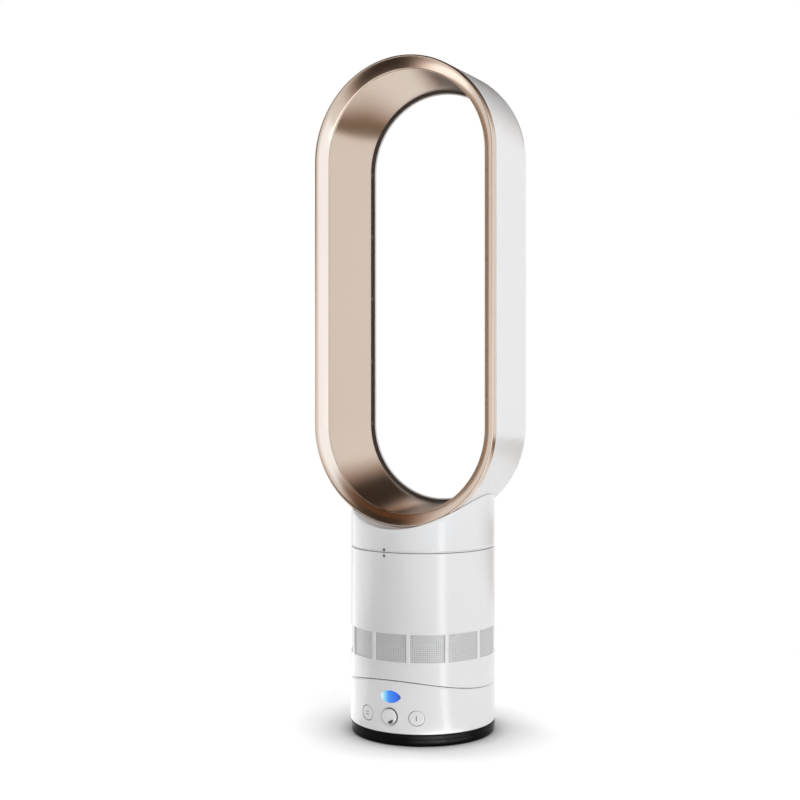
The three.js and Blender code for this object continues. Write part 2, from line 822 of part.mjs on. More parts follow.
// A plate that closes the body's underside and slides in the cradle on two webs.
function makeRockerPlate() {
  const [low, high] = [cradleFloorZ - overrun, shoulderZ - seat];
  const above = aboveCradle(rockerRadius, towerRadius);
  const bed = cut(disc(insideRadius, low, high, innerSegments).intersect(above),
    aboveCradle(rockerInner, towerRadius + overrun));
  const rim = ring(insideRadius - wall, insideRadius, low, high, innerSegments).intersect(above);
  const webs = [-runnerX, runnerX].map((x) => cradleStrip(rockerInner + overlap, cradleUnder + runnerSink,
    runnerHalfAngle, x - runnerWeb / 2, x + runnerWeb / 2));
  const cable = disc(cableBore, low, high, smallSegments);
  return cut(join(bed, rim, ...webs, ...driveBosses()), cable);
}

// Four bosses on the plate, under the drive board.
function driveBosses() {
  const floor = aboveCradle(rockerInner + overlap, towerRadius);
  const corners = [[-bossX, -bossY], [bossX, -bossY], [-bossX, bossY], [bossX, bossY]];
  return corners.map(([x, y]) => (
    disc(bossRadius, cradleFloorZ, driveSeatZ, innerSegments / 2).translate([x, y, 0]).intersect(floor)));
}

// The runner under each web hooks below the cradle.
function makeRunner(side) {
  const inner = cradleUnder + runnerSink + seat;
  return cradleStrip(inner, inner + runnerDepth, runnerHalfAngle,
    side * runnerX - runnerWidth / 2, side * runnerX + runnerWidth / 2);
}

// A board with its capacitor, inductor and heat sink.
function makeDriveBoard() {
  const bottom = driveSeatZ + seat;
  const foot = bottom + boardThickness / 2;
  const board = box([-driveHalfX, driveHalfX], [-driveHalfY, driveHalfY], [bottom, bottom + boardThickness]);
  const capacitor = disc(capacitorRadius, foot, bottom + capacitorHeight, smallSegments);
  const choke = disc(capacitorRadius, foot, bottom + chokeHeight, smallSegments);
  const height = [foot, bottom + sinkHeight];
  const finFoot = sinkY + sinkThickness;
  const sink = box([sinkX, sinkX + sinkLength], [sinkY, finFoot], height);
  const fins = Array.from({ length: finCount }, (_, i) => {
    const left = sinkX + finThickness + i * finPitch;
    return box([left, left + finThickness], [finFoot - overlap, finFoot + finLength], height);
  });
  return join(board, capacitor.translate([capacitorX, capacitorY, 0]), choke.translate([chokeX, chokeY, 0]),
    sink, ...fins);
}

// A thin sleeve behind the windows, slotted only where a window shows it.
function makeIntakeGrille() {
  const outer = insideRadius;
  const [bottom, top] = [windowBottom - grilleOverlap, windowTop + grilleOverlap];
  const sleeve = ring(outer - grilleThickness, outer, bottom, top);
  const pitch = 360 / windowCount;
  const open = pitch - 2 * Math.asin((windowPost / 2 + slotMargin) / towerRadius) / degrees;
  const slotAngle = open / slotsPerWindow;
  const width = 2 * outer * Math.sin(slotAngle / 2 * degrees) - slotWeb;
  const tool = box([-width / 2, width / 2], [-outer - overrun, -outer + grilleThickness + overlap],
    [windowBottom + slotMargin, windowTop - slotMargin]);
  const slots = [];
  for (let panel = 0; panel < windowCount; panel += 1) {
    for (let slot = 0; slot < slotsPerWindow; slot += 1) {
      slots.push(tool.rotate([0, 0, panel * pitch - open / 2 + (slot + 0.5) * slotAngle]));
    }
  }
  return cut(sleeve, ...slots);
}

// Tip line of the impeller blades, u from the eye to the outlet.
function tipPoint(u) {
  return [eyeRadius + tipGrowth * u ** tipCurve, impellerBottom + impellerHeight * u];
}

// Hub line of the impeller blades.
function hubPoint(u) {
  const height = impellerHeight - overlap;
  return [hubNose + (hubRadius - hubNose) * u ** hubCurve, impellerBottom + hubRise + height * u];
}

// A thin blade lofted between a hub line and a tip line, turned through `wrap` degrees.
function loftBlade(hub, tip, wrap, thickness, steps) {
  const positions = [];
  for (let i = 0; i <= steps; i += 1) {
    const u = i / steps;
    const turn = wrap * u * degrees;
    for (const [radius, z, side] of [[...hub(u), -1], [...hub(u), 1], [...tip(u), 1], [...tip(u), -1]]) {
      const angle = turn + side * thickness / (2 * radius);
      positions.push(radius * Math.cos(angle), radius * Math.sin(angle), z);
    }
  }
  const index = [0, 1, 2, 0, 2, 3];
  for (let i = 0; i < steps; i += 1) {
    for (let j = 0; j < 4; j += 1) {
      const [a, b] = [4 * i + j, 4 * i + (j + 1) % 4];
      index.push(a, a + 4, b + 4, a, b + 4, b);
    }
  }
  const last = 4 * steps;
  index.push(last, last + 2, last + 1, last, last + 3, last + 2);
  const geometry = new THREE.BufferGeometry();
  geometry.setAttribute('position', new THREE.Float32BufferAttribute(positions, 3));
  geometry.setIndex(index);
  return solidOf(geometry);
}

function makeImpeller() {
  const bore = spindleRadius + seat;
  const hubLine = [0, 0.33, 0.67, 1].map(hubPoint);
  const hub = revolve([
    [bore, impellerBottom], [hubShank, impellerBottom], ...hubLine, [hubRadius, hubTop], [bore, hubTop],
  ], innerSegments);
  const root = (u) => [hubPoint(u)[0] - bladeRoot, hubPoint(u)[1] + bladeRoot / 3];
  const blades = Array.from({ length: bladeCount }, (_, i) => (
    loftBlade(root, tipPoint, bladeWrap, bladeThickness, bladeSteps).rotate([0, 0, i * 360 / bladeCount])));
  return join(hub, ...blades);
}

function makeSpindle() {
  return disc(spindleRadius, impellerBottom - spindleFoot, motorTop - spindleHead, smallSegments);
}

function makeShroud() {
  const inner = [0, 0.5, 1].map(tipPoint).map(([r, z]) => [r + bladeGap, z]);
  const step = diffuserBottom - seat;
  const top = flangeTop + shroudHead;
  const skin = ductWide + shroudWall;
  const flange = insideRadius - spigotClearance;
  const bell = eyeRadius + bellReach;
  const mouth = impellerBottom - bellDepth;
  const inside = [
    [bell, mouth], [eyeRadius + bellThroat, mouth + bellThroat], ...inner, [ductRadius, step - ductTaper],
    [ductRadius, step], [ductWide, step], [ductWide, top],
  ];
  const outside = [
    [skin, top], [skin, flangeTop], [flange, flangeTop], [flange, flangeBottom], [skin, flangeBottom],
    [skin, step - ductTaper / 2], ...inner.map(([r, z]) => [r + shroudWall, z - edgeChamfer]).reverse(),
    [bell, mouth + bellLip],
  ];
  return revolve([...inside, ...outside], innerSegments);
}

function makeRubberMount() {
  const bottom = mountLedge + seat;
  const top = bottom + mountHeight;
  return revolve([
    [mountInner, bottom], [insideRadius, bottom], [insideRadius - mountTaper, top],
    [mountInner + mountTaper, top],
  ], innerSegments);
}

function makeDiffuser() {
  const outer = ductWide - seat;
  const inner = bucketRadius + seat;
  const innerRing = ring(inner, inner + diffuserInnerWall, diffuserBottom, diffuserTop, innerSegments);
  const outerRing = ring(outer - diffuserOuterWall, outer, diffuserBottom, diffuserTop, innerSegments);
  const height = (u) => diffuserBottom + vaneInset + (diffuserHeight - 2 * vaneInset) * u;
  const tipReach = (outer * flatShare + outer - diffuserOuterWall) / 2;
  const hub = (u) => [inner + vaneInset, height(u)];
  const tip = (u) => [tipReach, height(u)];
  const vanes = Array.from({ length: vaneCount }, (_, i) => (
    loftBlade(hub, tip, -vaneLean, bladeThickness, bladeSteps).rotate([0, 0, i * 360 / vaneCount])));
  return join(innerRing, outerRing, ...vanes);
}

function makeMotorBucket() {
  const bore = spindleRadius + overlap;
  const rimBottom = diffuserTop + seat;
  const rimTop = rimBottom + bucketRimHeight;
  const floorTop = bucketFloor + bucketWall;
  return revolve([
    [bore, bucketFloor], [bucketRadius, bucketFloor], [bucketRadius, rimBottom],
    [bucketRadius + bucketRim, rimBottom], [bucketRadius + bucketRim, rimTop], [bucketInner, rimTop],
    [bucketInner, floorTop], [bore, floorTop],
  ], innerSegments);
}

function makeBucketCap() {
  const bottom = diffuserTop + bucketRimHeight + 2 * seat;
  const radius = bucketRadius + bucketRim;
  const dome = [0, 25, 55].map((angle) => (
    [radius * Math.cos(angle * degrees), bottom + capLand + capRise * Math.sin(angle * degrees)]));
  const spigot = bucketInner - seat;
  return revolve([
    [0, bottom - bucketRimHeight], [spigot, bottom - bucketRimHeight], [spigot, bottom], [radius, bottom],
    ...dome, [0, bottom + capLand + capRise],
  ], innerSegments);
}

function makeMotor() {
  const bore = spindleRadius + glide;
  return revolve([
    [bore, motorBottom], [motorRadius, motorBottom], [motorRadius, motorTop - motorBevel],
    [motorRadius - motorBevel, motorTop], [bore, motorTop],
  ], innerSegments);
}

function makeMotorSleeve() {
  return ring(motorRadius + seat, bucketInner - seat, motorBottom, motorTop - sleeveDrop, innerSegments);
}

function makeAirSeal() {
  const [bottom, top] = [flangeTop + seat, collarSeamZ - spigotDepth - seat];
  const inner = ductWide + shroudWall + seat + sealTaper;
  return revolve([
    [inner, bottom], [spigotOuter, bottom], [spigotOuter - sealTaper, top], [inner, top],
  ], innerSegments);
}

// ---------- Bayonet ----------

function lugAngles() {
  return Array.from({ length: lugCount }, (_, i) => lugPhase + i * 360 / lugCount);
}

function makeBayonetSocket() {
  const inner = spigotOuter + spigotClearance;
  const top = collarSeamZ - glide;
  const whole = ring(inner, insideRadius, lugBottom - socketFoot, top);
  const depth = spigotOuter + lugReach + glide;
  const half = lugHalfAngle + lugSideAngle;
  const [low, high] = [lugBottom - glide, lugBottom + lugHeight + glide];
  const channels = lugAngles().flatMap((angle) => [
    sector(inner - overlap, depth, low, high, angle - half, angle + twistTravel + half),
    sector(inner - overlap, depth, low, top + overrun,
      angle + twistTravel - half, angle + twistTravel + half),
  ]);
  return cut(whole, ...channels);
}

// ---------- Loop ----------

// The round bottom of the loop, as a drum along Y.
function saddleDrum(radius) {
  const reach = towerRadius + overrun;
  return rodAlongY(radius, 0, lowerCentre, -reach, reach, 2 * endSegments);
}

function airPort(bottom, top) {
  const corner = airPortCorner;
  const [x, front, rear] = [airPortHalfX - corner, airPortFront + corner, airPortRear - corner];
  const outline = [
    ...arcPoints([x, rear], corner, 0, 90, 4), ...arcPoints([-x, rear], corner, 90, 180, 4),
    ...arcPoints([-x, front], corner, 180, 270, 4), ...arcPoints([x, front], corner, 270, 360, 4),
  ];
  return prismAlongZ(outline, bottom, top);
}

function makeLoopCollar() {
  const shoulder = collarSeamZ + wall;
  const top = lowerCentre - Math.sqrt(saddleRadius ** 2 - towerRadius ** 2) + overrun;
  const [bore, foot] = [spigotOuter - spigotWall, collarSeamZ - spigotDepth];
  const tube = revolve([
    [bore, foot], [spigotOuter, foot], [spigotOuter, collarSeamZ], [towerRadius - edgeChamfer, collarSeamZ],
    [towerRadius, collarSeamZ + edgeChamfer], [towerRadius, top], [towerInner, top], [towerInner, shoulder],
    [bore, shoulder],
  ]);
  const lugs = lugAngles().map((angle) => sector(spigotOuter - overlap, spigotOuter + lugReach, lugBottom,
    lugBottom + lugHeight, angle - lugHalfAngle, angle + lugHalfAngle));
  const plate = disc(towerInner + overlap, shoulder, top).intersect(saddleDrum(saddleRadius + wall));
  return cut(join(tube, plate, ...lugs), saddleDrum(saddleRadius), airPort(shoulder, top));
}

// A splitter under the air port that sends the flow up both sides of the loop.
function makeFlowGuide() {
  const top = lowerCentre - saddleRadius - wall - 2 * seat;
  const neck = top - splitterNeck;
  const outline = [
    [0, top - splitterHeight], [splitterNeckHalf, neck], [splitterHalf, top], [-splitterHalf, top],
    [-splitterNeckHalf, neck],
  ];
  return prismAlongY(outline, airPortFront - splitterOverhang, airPortRear + splitterOverhang);
}

// Stations round the stadium outline: the direction outwards and its centre's height.
function loopStations() {
  const stations = [];
  for (const [centre, start] of [[lowerCentre, 180], [upperCentre, 0]]) {
    for (let i = 0; i <= endSegments; i += 1) {
      const angle = (start + 180 * i / endSegments) * degrees;
      stations.push({ centre, x: Math.cos(angle), z: Math.sin(angle) });
    }
  }
  return stations;
}

// A closed section carried round the loop.
function sweepLoop(section) {
  const stations = loopStations();
  const positions = [];
  for (const { centre, x, z } of stations) {
    for (const [offset, y] of section) {
      const radius = loopHalfWidth - offset;
      positions.push(radius * x, y, centre + radius * z);
    }
  }
  const index = [];
  const across = section.length;
  for (let i = 0; i < stations.length; i += 1) {
    const next = (i + 1) % stations.length;
    for (let j = 0; j < across; j += 1) {
      const turn = (j + 1) % across;
      const [a, b, c, d] = [i * across + j, next * across + j, next * across + turn, i * across + turn];
      index.push(a, b, c, a, c, d);
    }
  }
  const geometry = new THREE.BufferGeometry();
  geometry.setAttribute('position', new THREE.Float32BufferAttribute(positions, 3));
  geometry.setIndex(index);
  return solidOf(geometry);
}

function ellipsePoints(centre, reach, depth, angles) {
  return angles.map((angle) => [
    centre[0] + reach * Math.sin(angle * degrees),
    centre[1] + depth * Math.cos(angle * degrees),
  ]);
}

// The white outer shell: flat side, rounded rear nose, and a lip that rolls into the hole.
function shellSection() {
  const lipCentre = [noseWidth, loopRear - lipDepth];
  const nose = [noseWidth, noseY];
  const [side, bend, crown] = [-90, -62, -32];
  const lip = [0, lipSweep / 2, lipSweep];
  const outer = [
    ...ellipsePoints(nose, noseWidth, noseLength, [side, bend, crown]),
    ...ellipsePoints(lipCentre, lipReach, lipDepth, lip),
  ];
  const inner = [
    ...ellipsePoints(lipCentre, lipReach - lipWallReach, lipDepth - lipWallDepth, [lipSweep, 0]),
    ...ellipsePoints(nose, noseWidth - shellWall, noseLength - shellWall, [crown, side]),
  ];
  return [[bezelSeam, shellFront], [0, shellFront + shellBevel], ...outer, ...inner, [shellWall, shellFront]];
}

function makeRearShell() {
  const pitch = (upperCentre - lowerCentre) / (spacerCount - 1);
  const spacers = [-1, 1].flatMap((side) => Array.from({ length: spacerCount }, (_, i) => (
    slitSpacer(side, lowerCentre + i * pitch - spacerLength / 2))));
  const shell = join(sweepLoop(shellSection()), ...spacers);
  return cut(shell, airPort(loopBottom - overrun, loopBottom + shellWall + 2 * overrun));
}

// A rib that holds the slit open between the lip and the throat.
function slitSpacer(side, bottom) {
  const near = loopHalfWidth - mouthOffset + coandaRadius - overlap;
  const far = loopHalfWidth - mouthOffset - spacerInner;
  const span = [side * far, side * near].sort((a, b) => a - b);
  return box(span, [mouthY + coandaRadius + seat, loopRear - shellWall], [bottom, bottom + spacerLength]);
}

// The plated rim: a gently crowned face, and a key behind it that fits between the walls.
function makeFrontBezel() {
  const keyOuter = shellWall + seat;
  const keyInner = rimWidth - innerWallThickness - seat;
  const keyRear = bezelBack + bezelKey;
  return sweepLoop([
    [0, bezelBack], [0, loopFront + bezelEdge], [crownStart, loopFront], [crownEnd, loopFront + crownDrop],
    [slopeReach, loopFront + slopeDrop], [rimWidth, bezelBack - shellBevel], [rimWidth, bezelBack],
    [keyInner, bezelBack], [keyInner, keyRear], [keyOuter, keyRear], [keyOuter, bezelBack],
  ]);
}

// The plated throat: it narrows towards the rear and rolls away at the mouth of the slit.
function makeInnerWall() {
  const centre = [mouthOffset - coandaRadius, mouthY];
  const tail = ellipsePoints(centre, coandaRadius, coandaRadius, [90, 45, 0]);
  const inside = coandaRadius - innerWallThickness;
  const back = ellipsePoints(centre, inside, inside, [0, 90]);
  return sweepLoop([[rimWidth, shellFront], ...tail, ...back, [rimWidth - innerWallThickness, shellFront]]);
}

// ---------- Assembly ----------

function part(name, finish, solid) {
  const mesh = new THREE.Mesh(geometryOf(solid), new THREE.MeshStandardMaterial(finishes[finish]));
  mesh.name = name;
  return mesh;
}

function groupOf(...members) {
  const group = new THREE.Group();
  group.add(...members);
  return group;
}

function footParts() {
  return groupOf(
    part('foot_base', 'blackGloss', makeFootBase()),
    part('pivot_post', 'steel', makePivotPost()),
    part('rubber_pad', 'rubber', makeRubberPad()),
    part('ballast_ring', 'steel', makeBallast()),
    part('slide_ring', 'acetal', makeSlideRing()),
    part('sun_gear', 'acetal', makeSunGear()),
    part('retaining_clip', 'steel', makeRetainingClip()),
    part('cord_gland', 'rubber', makeGland()),
  );
}

function driveParts() {
  const drive = groupOf(
    part('swivel_pinion', 'acetal', makePinion()),
    part('swivel_motor', 'steel', makeSwivelMotor()),
  );
  drive.position.y = gearCentre;
  return drive;
}

function controlParts() {
  return groupOf(
    part('control_housing', 'whiteGloss', makeControlHousing()),
    part('swivel_plate', 'greyPlastic', makeSwivelPlate()),
    part('control_board', 'circuit', makeControlBoard()),
    part('display_lens', 'blueLens', makeDisplayLens()),
    part('display_light', 'acetal', makeDisplayLight()),
    part('knob', 'whiteGloss', makeKnob()),
    part('knob_encoder', 'darkPlastic', makeEncoder()),
    part('swing_button', 'whiteGloss', makeButton(-1)),
    part('power_button', 'whiteGloss', makeButton(1)),
    part('swing_switch', 'darkPlastic', makeSwitch(-1)),
    part('power_switch', 'darkPlastic', makeSwitch(1)),
    driveParts(),
  );
}

function bodyParts() {
  return groupOf(
    part('body_shell', 'whiteGloss', makeBodyShell()),
    part('intake_grille', 'grille', makeIntakeGrille()),
    part('rocker_plate', 'greyPlastic', makeRockerPlate()),
    part('runner_left', 'acetal', makeRunner(-1)),
    part('runner_right', 'acetal', makeRunner(1)),
    part('drive_board', 'circuit', makeDriveBoard()),
    part('impeller_shroud', 'greyPlastic', makeShroud()),
    part('rubber_mount', 'rubber', makeRubberMount()),
    part('diffuser', 'greyPlastic', makeDiffuser()),
    part('motor_bucket', 'darkPlastic', makeMotorBucket()),
    part('bucket_cap', 'darkPlastic', makeBucketCap()),
    part('motor', 'steel', makeMotor()),
    part('motor_sleeve', 'rubber', makeMotorSleeve()),
    part('air_seal', 'rubber', makeAirSeal()),
    part('bayonet_socket', 'greyPlastic', makeBayonetSocket()),
    part('impeller', 'darkPlastic', makeImpeller()),
    part('rotor_shaft', 'steel', makeSpindle()),
  );
}

function loopParts() {
  return groupOf(
    part('loop_collar', 'whiteGloss', makeLoopCollar()),
    part('flow_guide', 'whiteGloss', makeFlowGuide()),
    part('rear_shell', 'whiteGloss', makeRearShell()),
    part('front_bezel', 'roseGold', makeFrontBezel()),
    part('inner_wall', 'roseGold', makeInnerWall()),
  );
}

const fan = groupOf(footParts(), controlParts(), bodyParts(), loopParts());
fan.name = 'tower_fan';

export default fan;
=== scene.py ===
"""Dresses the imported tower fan: fine shells, a perforated intake, plated loop, controls and finishes.

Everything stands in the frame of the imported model: metres, +Z up, the front faces -Y. Sections and
outlines are written in millimetres and scaled when their mesh is made.
"""

from __future__ import annotations

import json
import logging
import math
from dataclasses import dataclass
from enum import Enum
from typing import Callable, Iterable, Sequence

import bmesh
import bpy
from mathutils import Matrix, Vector


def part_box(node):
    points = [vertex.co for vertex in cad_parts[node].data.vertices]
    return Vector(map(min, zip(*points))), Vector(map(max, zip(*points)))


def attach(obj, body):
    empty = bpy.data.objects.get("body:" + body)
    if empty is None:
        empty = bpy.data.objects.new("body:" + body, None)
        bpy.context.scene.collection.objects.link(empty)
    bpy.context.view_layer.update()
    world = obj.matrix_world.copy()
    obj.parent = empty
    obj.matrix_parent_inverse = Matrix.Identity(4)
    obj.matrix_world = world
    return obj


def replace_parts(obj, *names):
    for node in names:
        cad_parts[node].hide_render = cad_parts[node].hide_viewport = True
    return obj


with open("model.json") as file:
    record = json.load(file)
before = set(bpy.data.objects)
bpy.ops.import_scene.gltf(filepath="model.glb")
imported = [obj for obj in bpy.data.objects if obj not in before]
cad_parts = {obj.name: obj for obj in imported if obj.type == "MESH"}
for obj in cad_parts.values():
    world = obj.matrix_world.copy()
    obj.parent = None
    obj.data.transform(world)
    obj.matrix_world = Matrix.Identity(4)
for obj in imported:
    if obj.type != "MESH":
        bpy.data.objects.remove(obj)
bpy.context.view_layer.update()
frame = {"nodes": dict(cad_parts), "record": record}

LOG = logging.getLogger("fan")
MM = 0.001
WELD_DISTANCE = 1e-7
MERGE_DISTANCE = 2e-6
BUMP_DISTANCE = 0.2 * MM
NOISE_DETAIL = 3.0

Material = bpy.types.Material
Mesh = bpy.types.Mesh
Node = bpy.types.Node
Piece = bpy.types.Object
Socket = bpy.types.NodeSocket
Tree = bpy.types.NodeTree
Point = tuple[float, float]
Triple = tuple[float, float, float]
Row = list[Triple]
Outline = Sequence[Point]
Faces = list[tuple[int, ...]]

WHITE: Triple = (1.0, 1.0, 1.0)


class Body(Enum):
    """The moving bodies that a piece can ride on."""

    FOOT = "foot"
    BASE = "control_base"
    KNOB = "knob"
    SWING_BUTTON = "swing_button"
    POWER_BUTTON = "power_button"
    COLUMN = "body"
    LOOP = "loop"


class Slot(Enum):
    """The record's material slots."""

    WHITE = "white_gloss"
    ROSE = "rose_plating"
    BLACK = "black_gloss"
    RUBBER = "rubber"
    STEEL = "steel"
    ACETAL = "acetal"
    GREY = "grey_plastic"
    DARK = "dark_plastic"
    CIRCUIT = "circuit"
    LENS = "blue_lens"
    GRILLE = "grille_metal"


# ---------------------------------------------------------------- nodes


class Wiring:
    """Adds nodes to a tree, with their settings, values and links in one call."""

    def __init__(self, tree: Tree) -> None:
        """Takes the tree to work in."""
        self.tree = tree

    def put(self, node: Node, inputs: dict[str | int, object]) -> None:
        """Fills a node's inputs.

        Args:
            node: The node.
            inputs: By name or number, a socket to link from, a list of them, or a plain value.
        """
        for place, value in inputs.items():
            socket = node.inputs[place]
            if isinstance(value, (Socket, list)):
                for source in value if isinstance(value, list) else [value]:
                    self.tree.links.new(source, socket)
            else:
                socket.default_value = (*value, 1.0) if socket.type == "RGBA" else value

    def add(self, kind: str, inputs: dict[str | int, object] | None = None, out: str | int = 0,
            **settings: object) -> Socket:
        """Adds a node.

        Args:
            kind: The node's type.
            inputs: What goes into it, as put() takes it.
            out: Name or number of the output that is wanted.
            **settings: The node's own properties.

        Returns:
            The wanted output.
        """
        node = self.tree.nodes.new(kind)
        for label, value in settings.items():
            setattr(node, label, value)
        self.put(node, inputs or {})
        return node.outputs[out]

    def end(self, kind: str, label: str, result: Socket) -> None:
        """Ends the tree in an output node."""
        self.put(self.tree.nodes.new(kind), {label: result})

    def calc(self, operation: str, *terms: Socket | float) -> Socket:
        """Adds a maths node over sockets and numbers."""
        return self.add("ShaderNodeMath", dict(enumerate(terms)), operation=operation)

    def vector(self, **parts: Socket) -> Socket:
        """Joins the parts x, y and z into a vector."""
        return self.add("ShaderNodeCombineXYZ", {axis.upper(): part for axis, part in parts.items()})

    def place(self) -> Socket:
        """The object coordinates."""
        return self.add("ShaderNodeTexCoord", out="Object")

    def smooth_step(self, value: Socket, start: float, end: float) -> Socket:
        """Rises softly from 0 at one value to 1 at another."""
        return self.add("ShaderNodeMapRange", {"Value": value, "From Min": start, "From Max": end},
                        interpolation_type="SMOOTHSTEP")

    def blend(self, share: Socket, base: Socket, colour: Triple) -> Socket:
        """Mixes a plain colour over a linked one."""
        return self.add("ShaderNodeMix", {"Factor": share, 6: base, 7: colour}, out=2, data_type="RGBA")

    def ramp(self, value: Socket, stops: Sequence[tuple[float, Triple]]) -> Socket:
        """Adds a colour ramp.

        Args:
            value: The value that runs along the ramp.
            stops: Place and colour of each stop, in order.

        Returns:
            The ramp's colour.
        """
        result = self.add("ShaderNodeValToRGB", {"Fac": value})
        elements = result.node.color_ramp.elements
        for position, _ in stops[1:-1]:
            elements.new(position)
        for element, (position, colour) in zip(elements, stops):
            element.position = position
            element.color = (*colour, 1.0)
        return result


class Effects:
    """The shader groups that several finishes share, each built once."""

    def __init__(self) -> None:
        """Builds every group."""
        # the fine relief of a moulded or plated skin, as a bump height
        self.relief = self.noise_group("surface_relief", 900.0, "Height")
        # the rings that turning leaves on metal, as a bump height
        self.lines = self.noise_group("turning_lines", 1400.0, "Height", (0.02, 0.02, 1.0))
        # the soft patches of gloss that hands and cloths leave
        self.marks = self.noise_group("handling_marks", 14.0, "Roughness", (1.0, 1.0, 0.45), (0.2, 0.3))
        # the slow drift of a colour's brightness
        self.tone = self.noise_group("tone_drift", 6.0, "Tone", span=(0.97, 1.03))
        # painted highlights: the outer edges of some finishes turn lighter, as if they caught the light
        self.edges = self.edge_highlight_group()

    @staticmethod
    def start(name: str, inputs: dict[str, float], output: str) -> tuple[Wiring, Node]:
        """Makes an empty group with float sockets.

        Args:
            name: The group's name.
            inputs: Default of each input.
            output: Name of its output.

        Returns:
            The wiring, and the node that gives the inputs.
        """
        tree = bpy.data.node_groups.new(name, "ShaderNodeTree")
        for label, value in inputs.items():
            socket = tree.interface.new_socket(label, in_out="INPUT", socket_type="NodeSocketFloat")
            socket.default_value = value
        tree.interface.new_socket(output, in_out="OUTPUT", socket_type="NodeSocketFloat")
        return Wiring(tree), tree.nodes.new("NodeGroupInput")

    def noise_group(self, name: str, scale: float, output: str, stretch: Triple = (1.0, 1.0, 1.0),
                    span: Point | None = None) -> Tree:
        """Builds a group that gives a noise on object coordinates.

        Args:
            name: The group's name.
            scale: Default of its Scale input.
            output: Name of its output.
            stretch: Scale of the pattern along X, Y and Z.
            span: Defaults of its Low and High inputs, where the noise is spread between them.

        Returns:
            The group.
        """
        inputs = {"Scale": scale} | (dict(zip(("Low", "High"), span)) if span else {})
        wires, given = self.start(name, inputs, output)
        mapped = wires.add("ShaderNodeMapping", {"Vector": wires.place(), "Scale": stretch})
        value = wires.add("ShaderNodeTexNoise", {"Vector": mapped, "Scale": given.outputs["Scale"],
                                                 "Detail": NOISE_DETAIL})
        if span:
            value = wires.add("ShaderNodeMapRange", {"Value": value, "To Min": given.outputs["Low"],
                                                     "To Max": given.outputs["High"]})
        wires.end("NodeGroupOutput", output, value)
        return wires.tree

    def edge_highlight_group(self) -> Tree:
        """Builds the group that finds outer edges by their pointiness, where finishes take a lighter colour
        as a painted edge highlight.
        """
        wires, given = self.start("edge_mask", {"Start": 0.52, "End": 0.62}, "Mask")
        pointiness = wires.add("ShaderNodeNewGeometry", out="Pointiness")
        mask = wires.add("ShaderNodeMapRange", {"Value": pointiness, "From Min": given.outputs["Start"],
                                                "From Max": given.outputs["End"]})
        wires.end("NodeGroupOutput", "Mask", mask)
        return wires.tree


class NodeShape(Wiring):
    """A geometry node tree made in the script, run once and turned into a plain mesh."""

    def __init__(self, name: str) -> None:
        """Starts an empty tree of that name."""
        super().__init__(bpy.data.node_groups.new(name, "GeometryNodeTree"))
        self.values: dict[str, object] = {}
        for way in ("INPUT", "OUTPUT"):
            self.tree.interface.new_socket("Geometry", in_out=way, socket_type="NodeSocketGeometry")
        self.given = self.tree.nodes.new("NodeGroupInput")

    def size(self, label: str, value: object, kind: str = "Float") -> Socket:
        """Adds a named input.

        Args:
            label: The input's name.
            value: What it is set to on the modifier.
            kind: The socket's type.

        Returns:
            The socket that gives the input's value.
        """
        socket = self.tree.interface.new_socket(label, in_out="INPUT", socket_type=f"NodeSocket{kind}")
        self.values[socket.identifier] = value
        return self.given.outputs[label]

    def line(self, count: Socket, offset: Socket, start: Socket | None = None) -> Socket:
        """A row of points, by the way from each to the next, and its start if that isn't the origin."""
        inputs = {"Count": count, "Offset": offset} | ({"Start Location": start} if start is not None else {})
        return self.add("GeometryNodeMeshLine", inputs, mode="OFFSET")

    def object(self, source: Socket) -> Socket:
        """The shape of an object that an input names."""
        return self.add("GeometryNodeObjectInfo", {"Object": source}, out="Geometry")

    def copies(self, points: Socket, shape: Socket) -> Socket:
        """A copy of a shape on every point."""
        return self.add("GeometryNodeInstanceOnPoints", {"Points": points, "Instance": shape})

    def run(self, name: str, instances: Socket, material: Material,
            bend: Callable[[Socket], Socket] | None = None) -> Piece:
        """Ends the tree in Realize Instances and Set Material, and runs it on an empty mesh.

        Args:
            name: The piece's name.
            instances: What the tree has made.
            material: The piece's material.
            bend: What is done to the realized mesh before it is merged, if anything.

        Returns:
            A plain mesh object.
        """
        real = self.add("GeometryNodeRealizeInstances", {"Geometry": instances})
        if bend is not None:
            real = bend(real)
        merged = self.add("GeometryNodeMergeByDistance", {"Geometry": real, "Distance": MERGE_DISTANCE})
        painted = self.add("GeometryNodeSetMaterial", {"Geometry": merged, "Material": material})
        self.end("NodeGroupOutput", "Geometry", painted)
        carrier = linked(bpy.data.objects.new(name, bpy.data.meshes.new(name)))
        step = carrier.modifiers.new("shape", "NODES")
        step.node_group = self.tree
        for identifier, value in self.values.items():
            step[identifier] = value
        apply_modifiers(carrier)
        return carrier


# ---------------------------------------------------------------- finishes


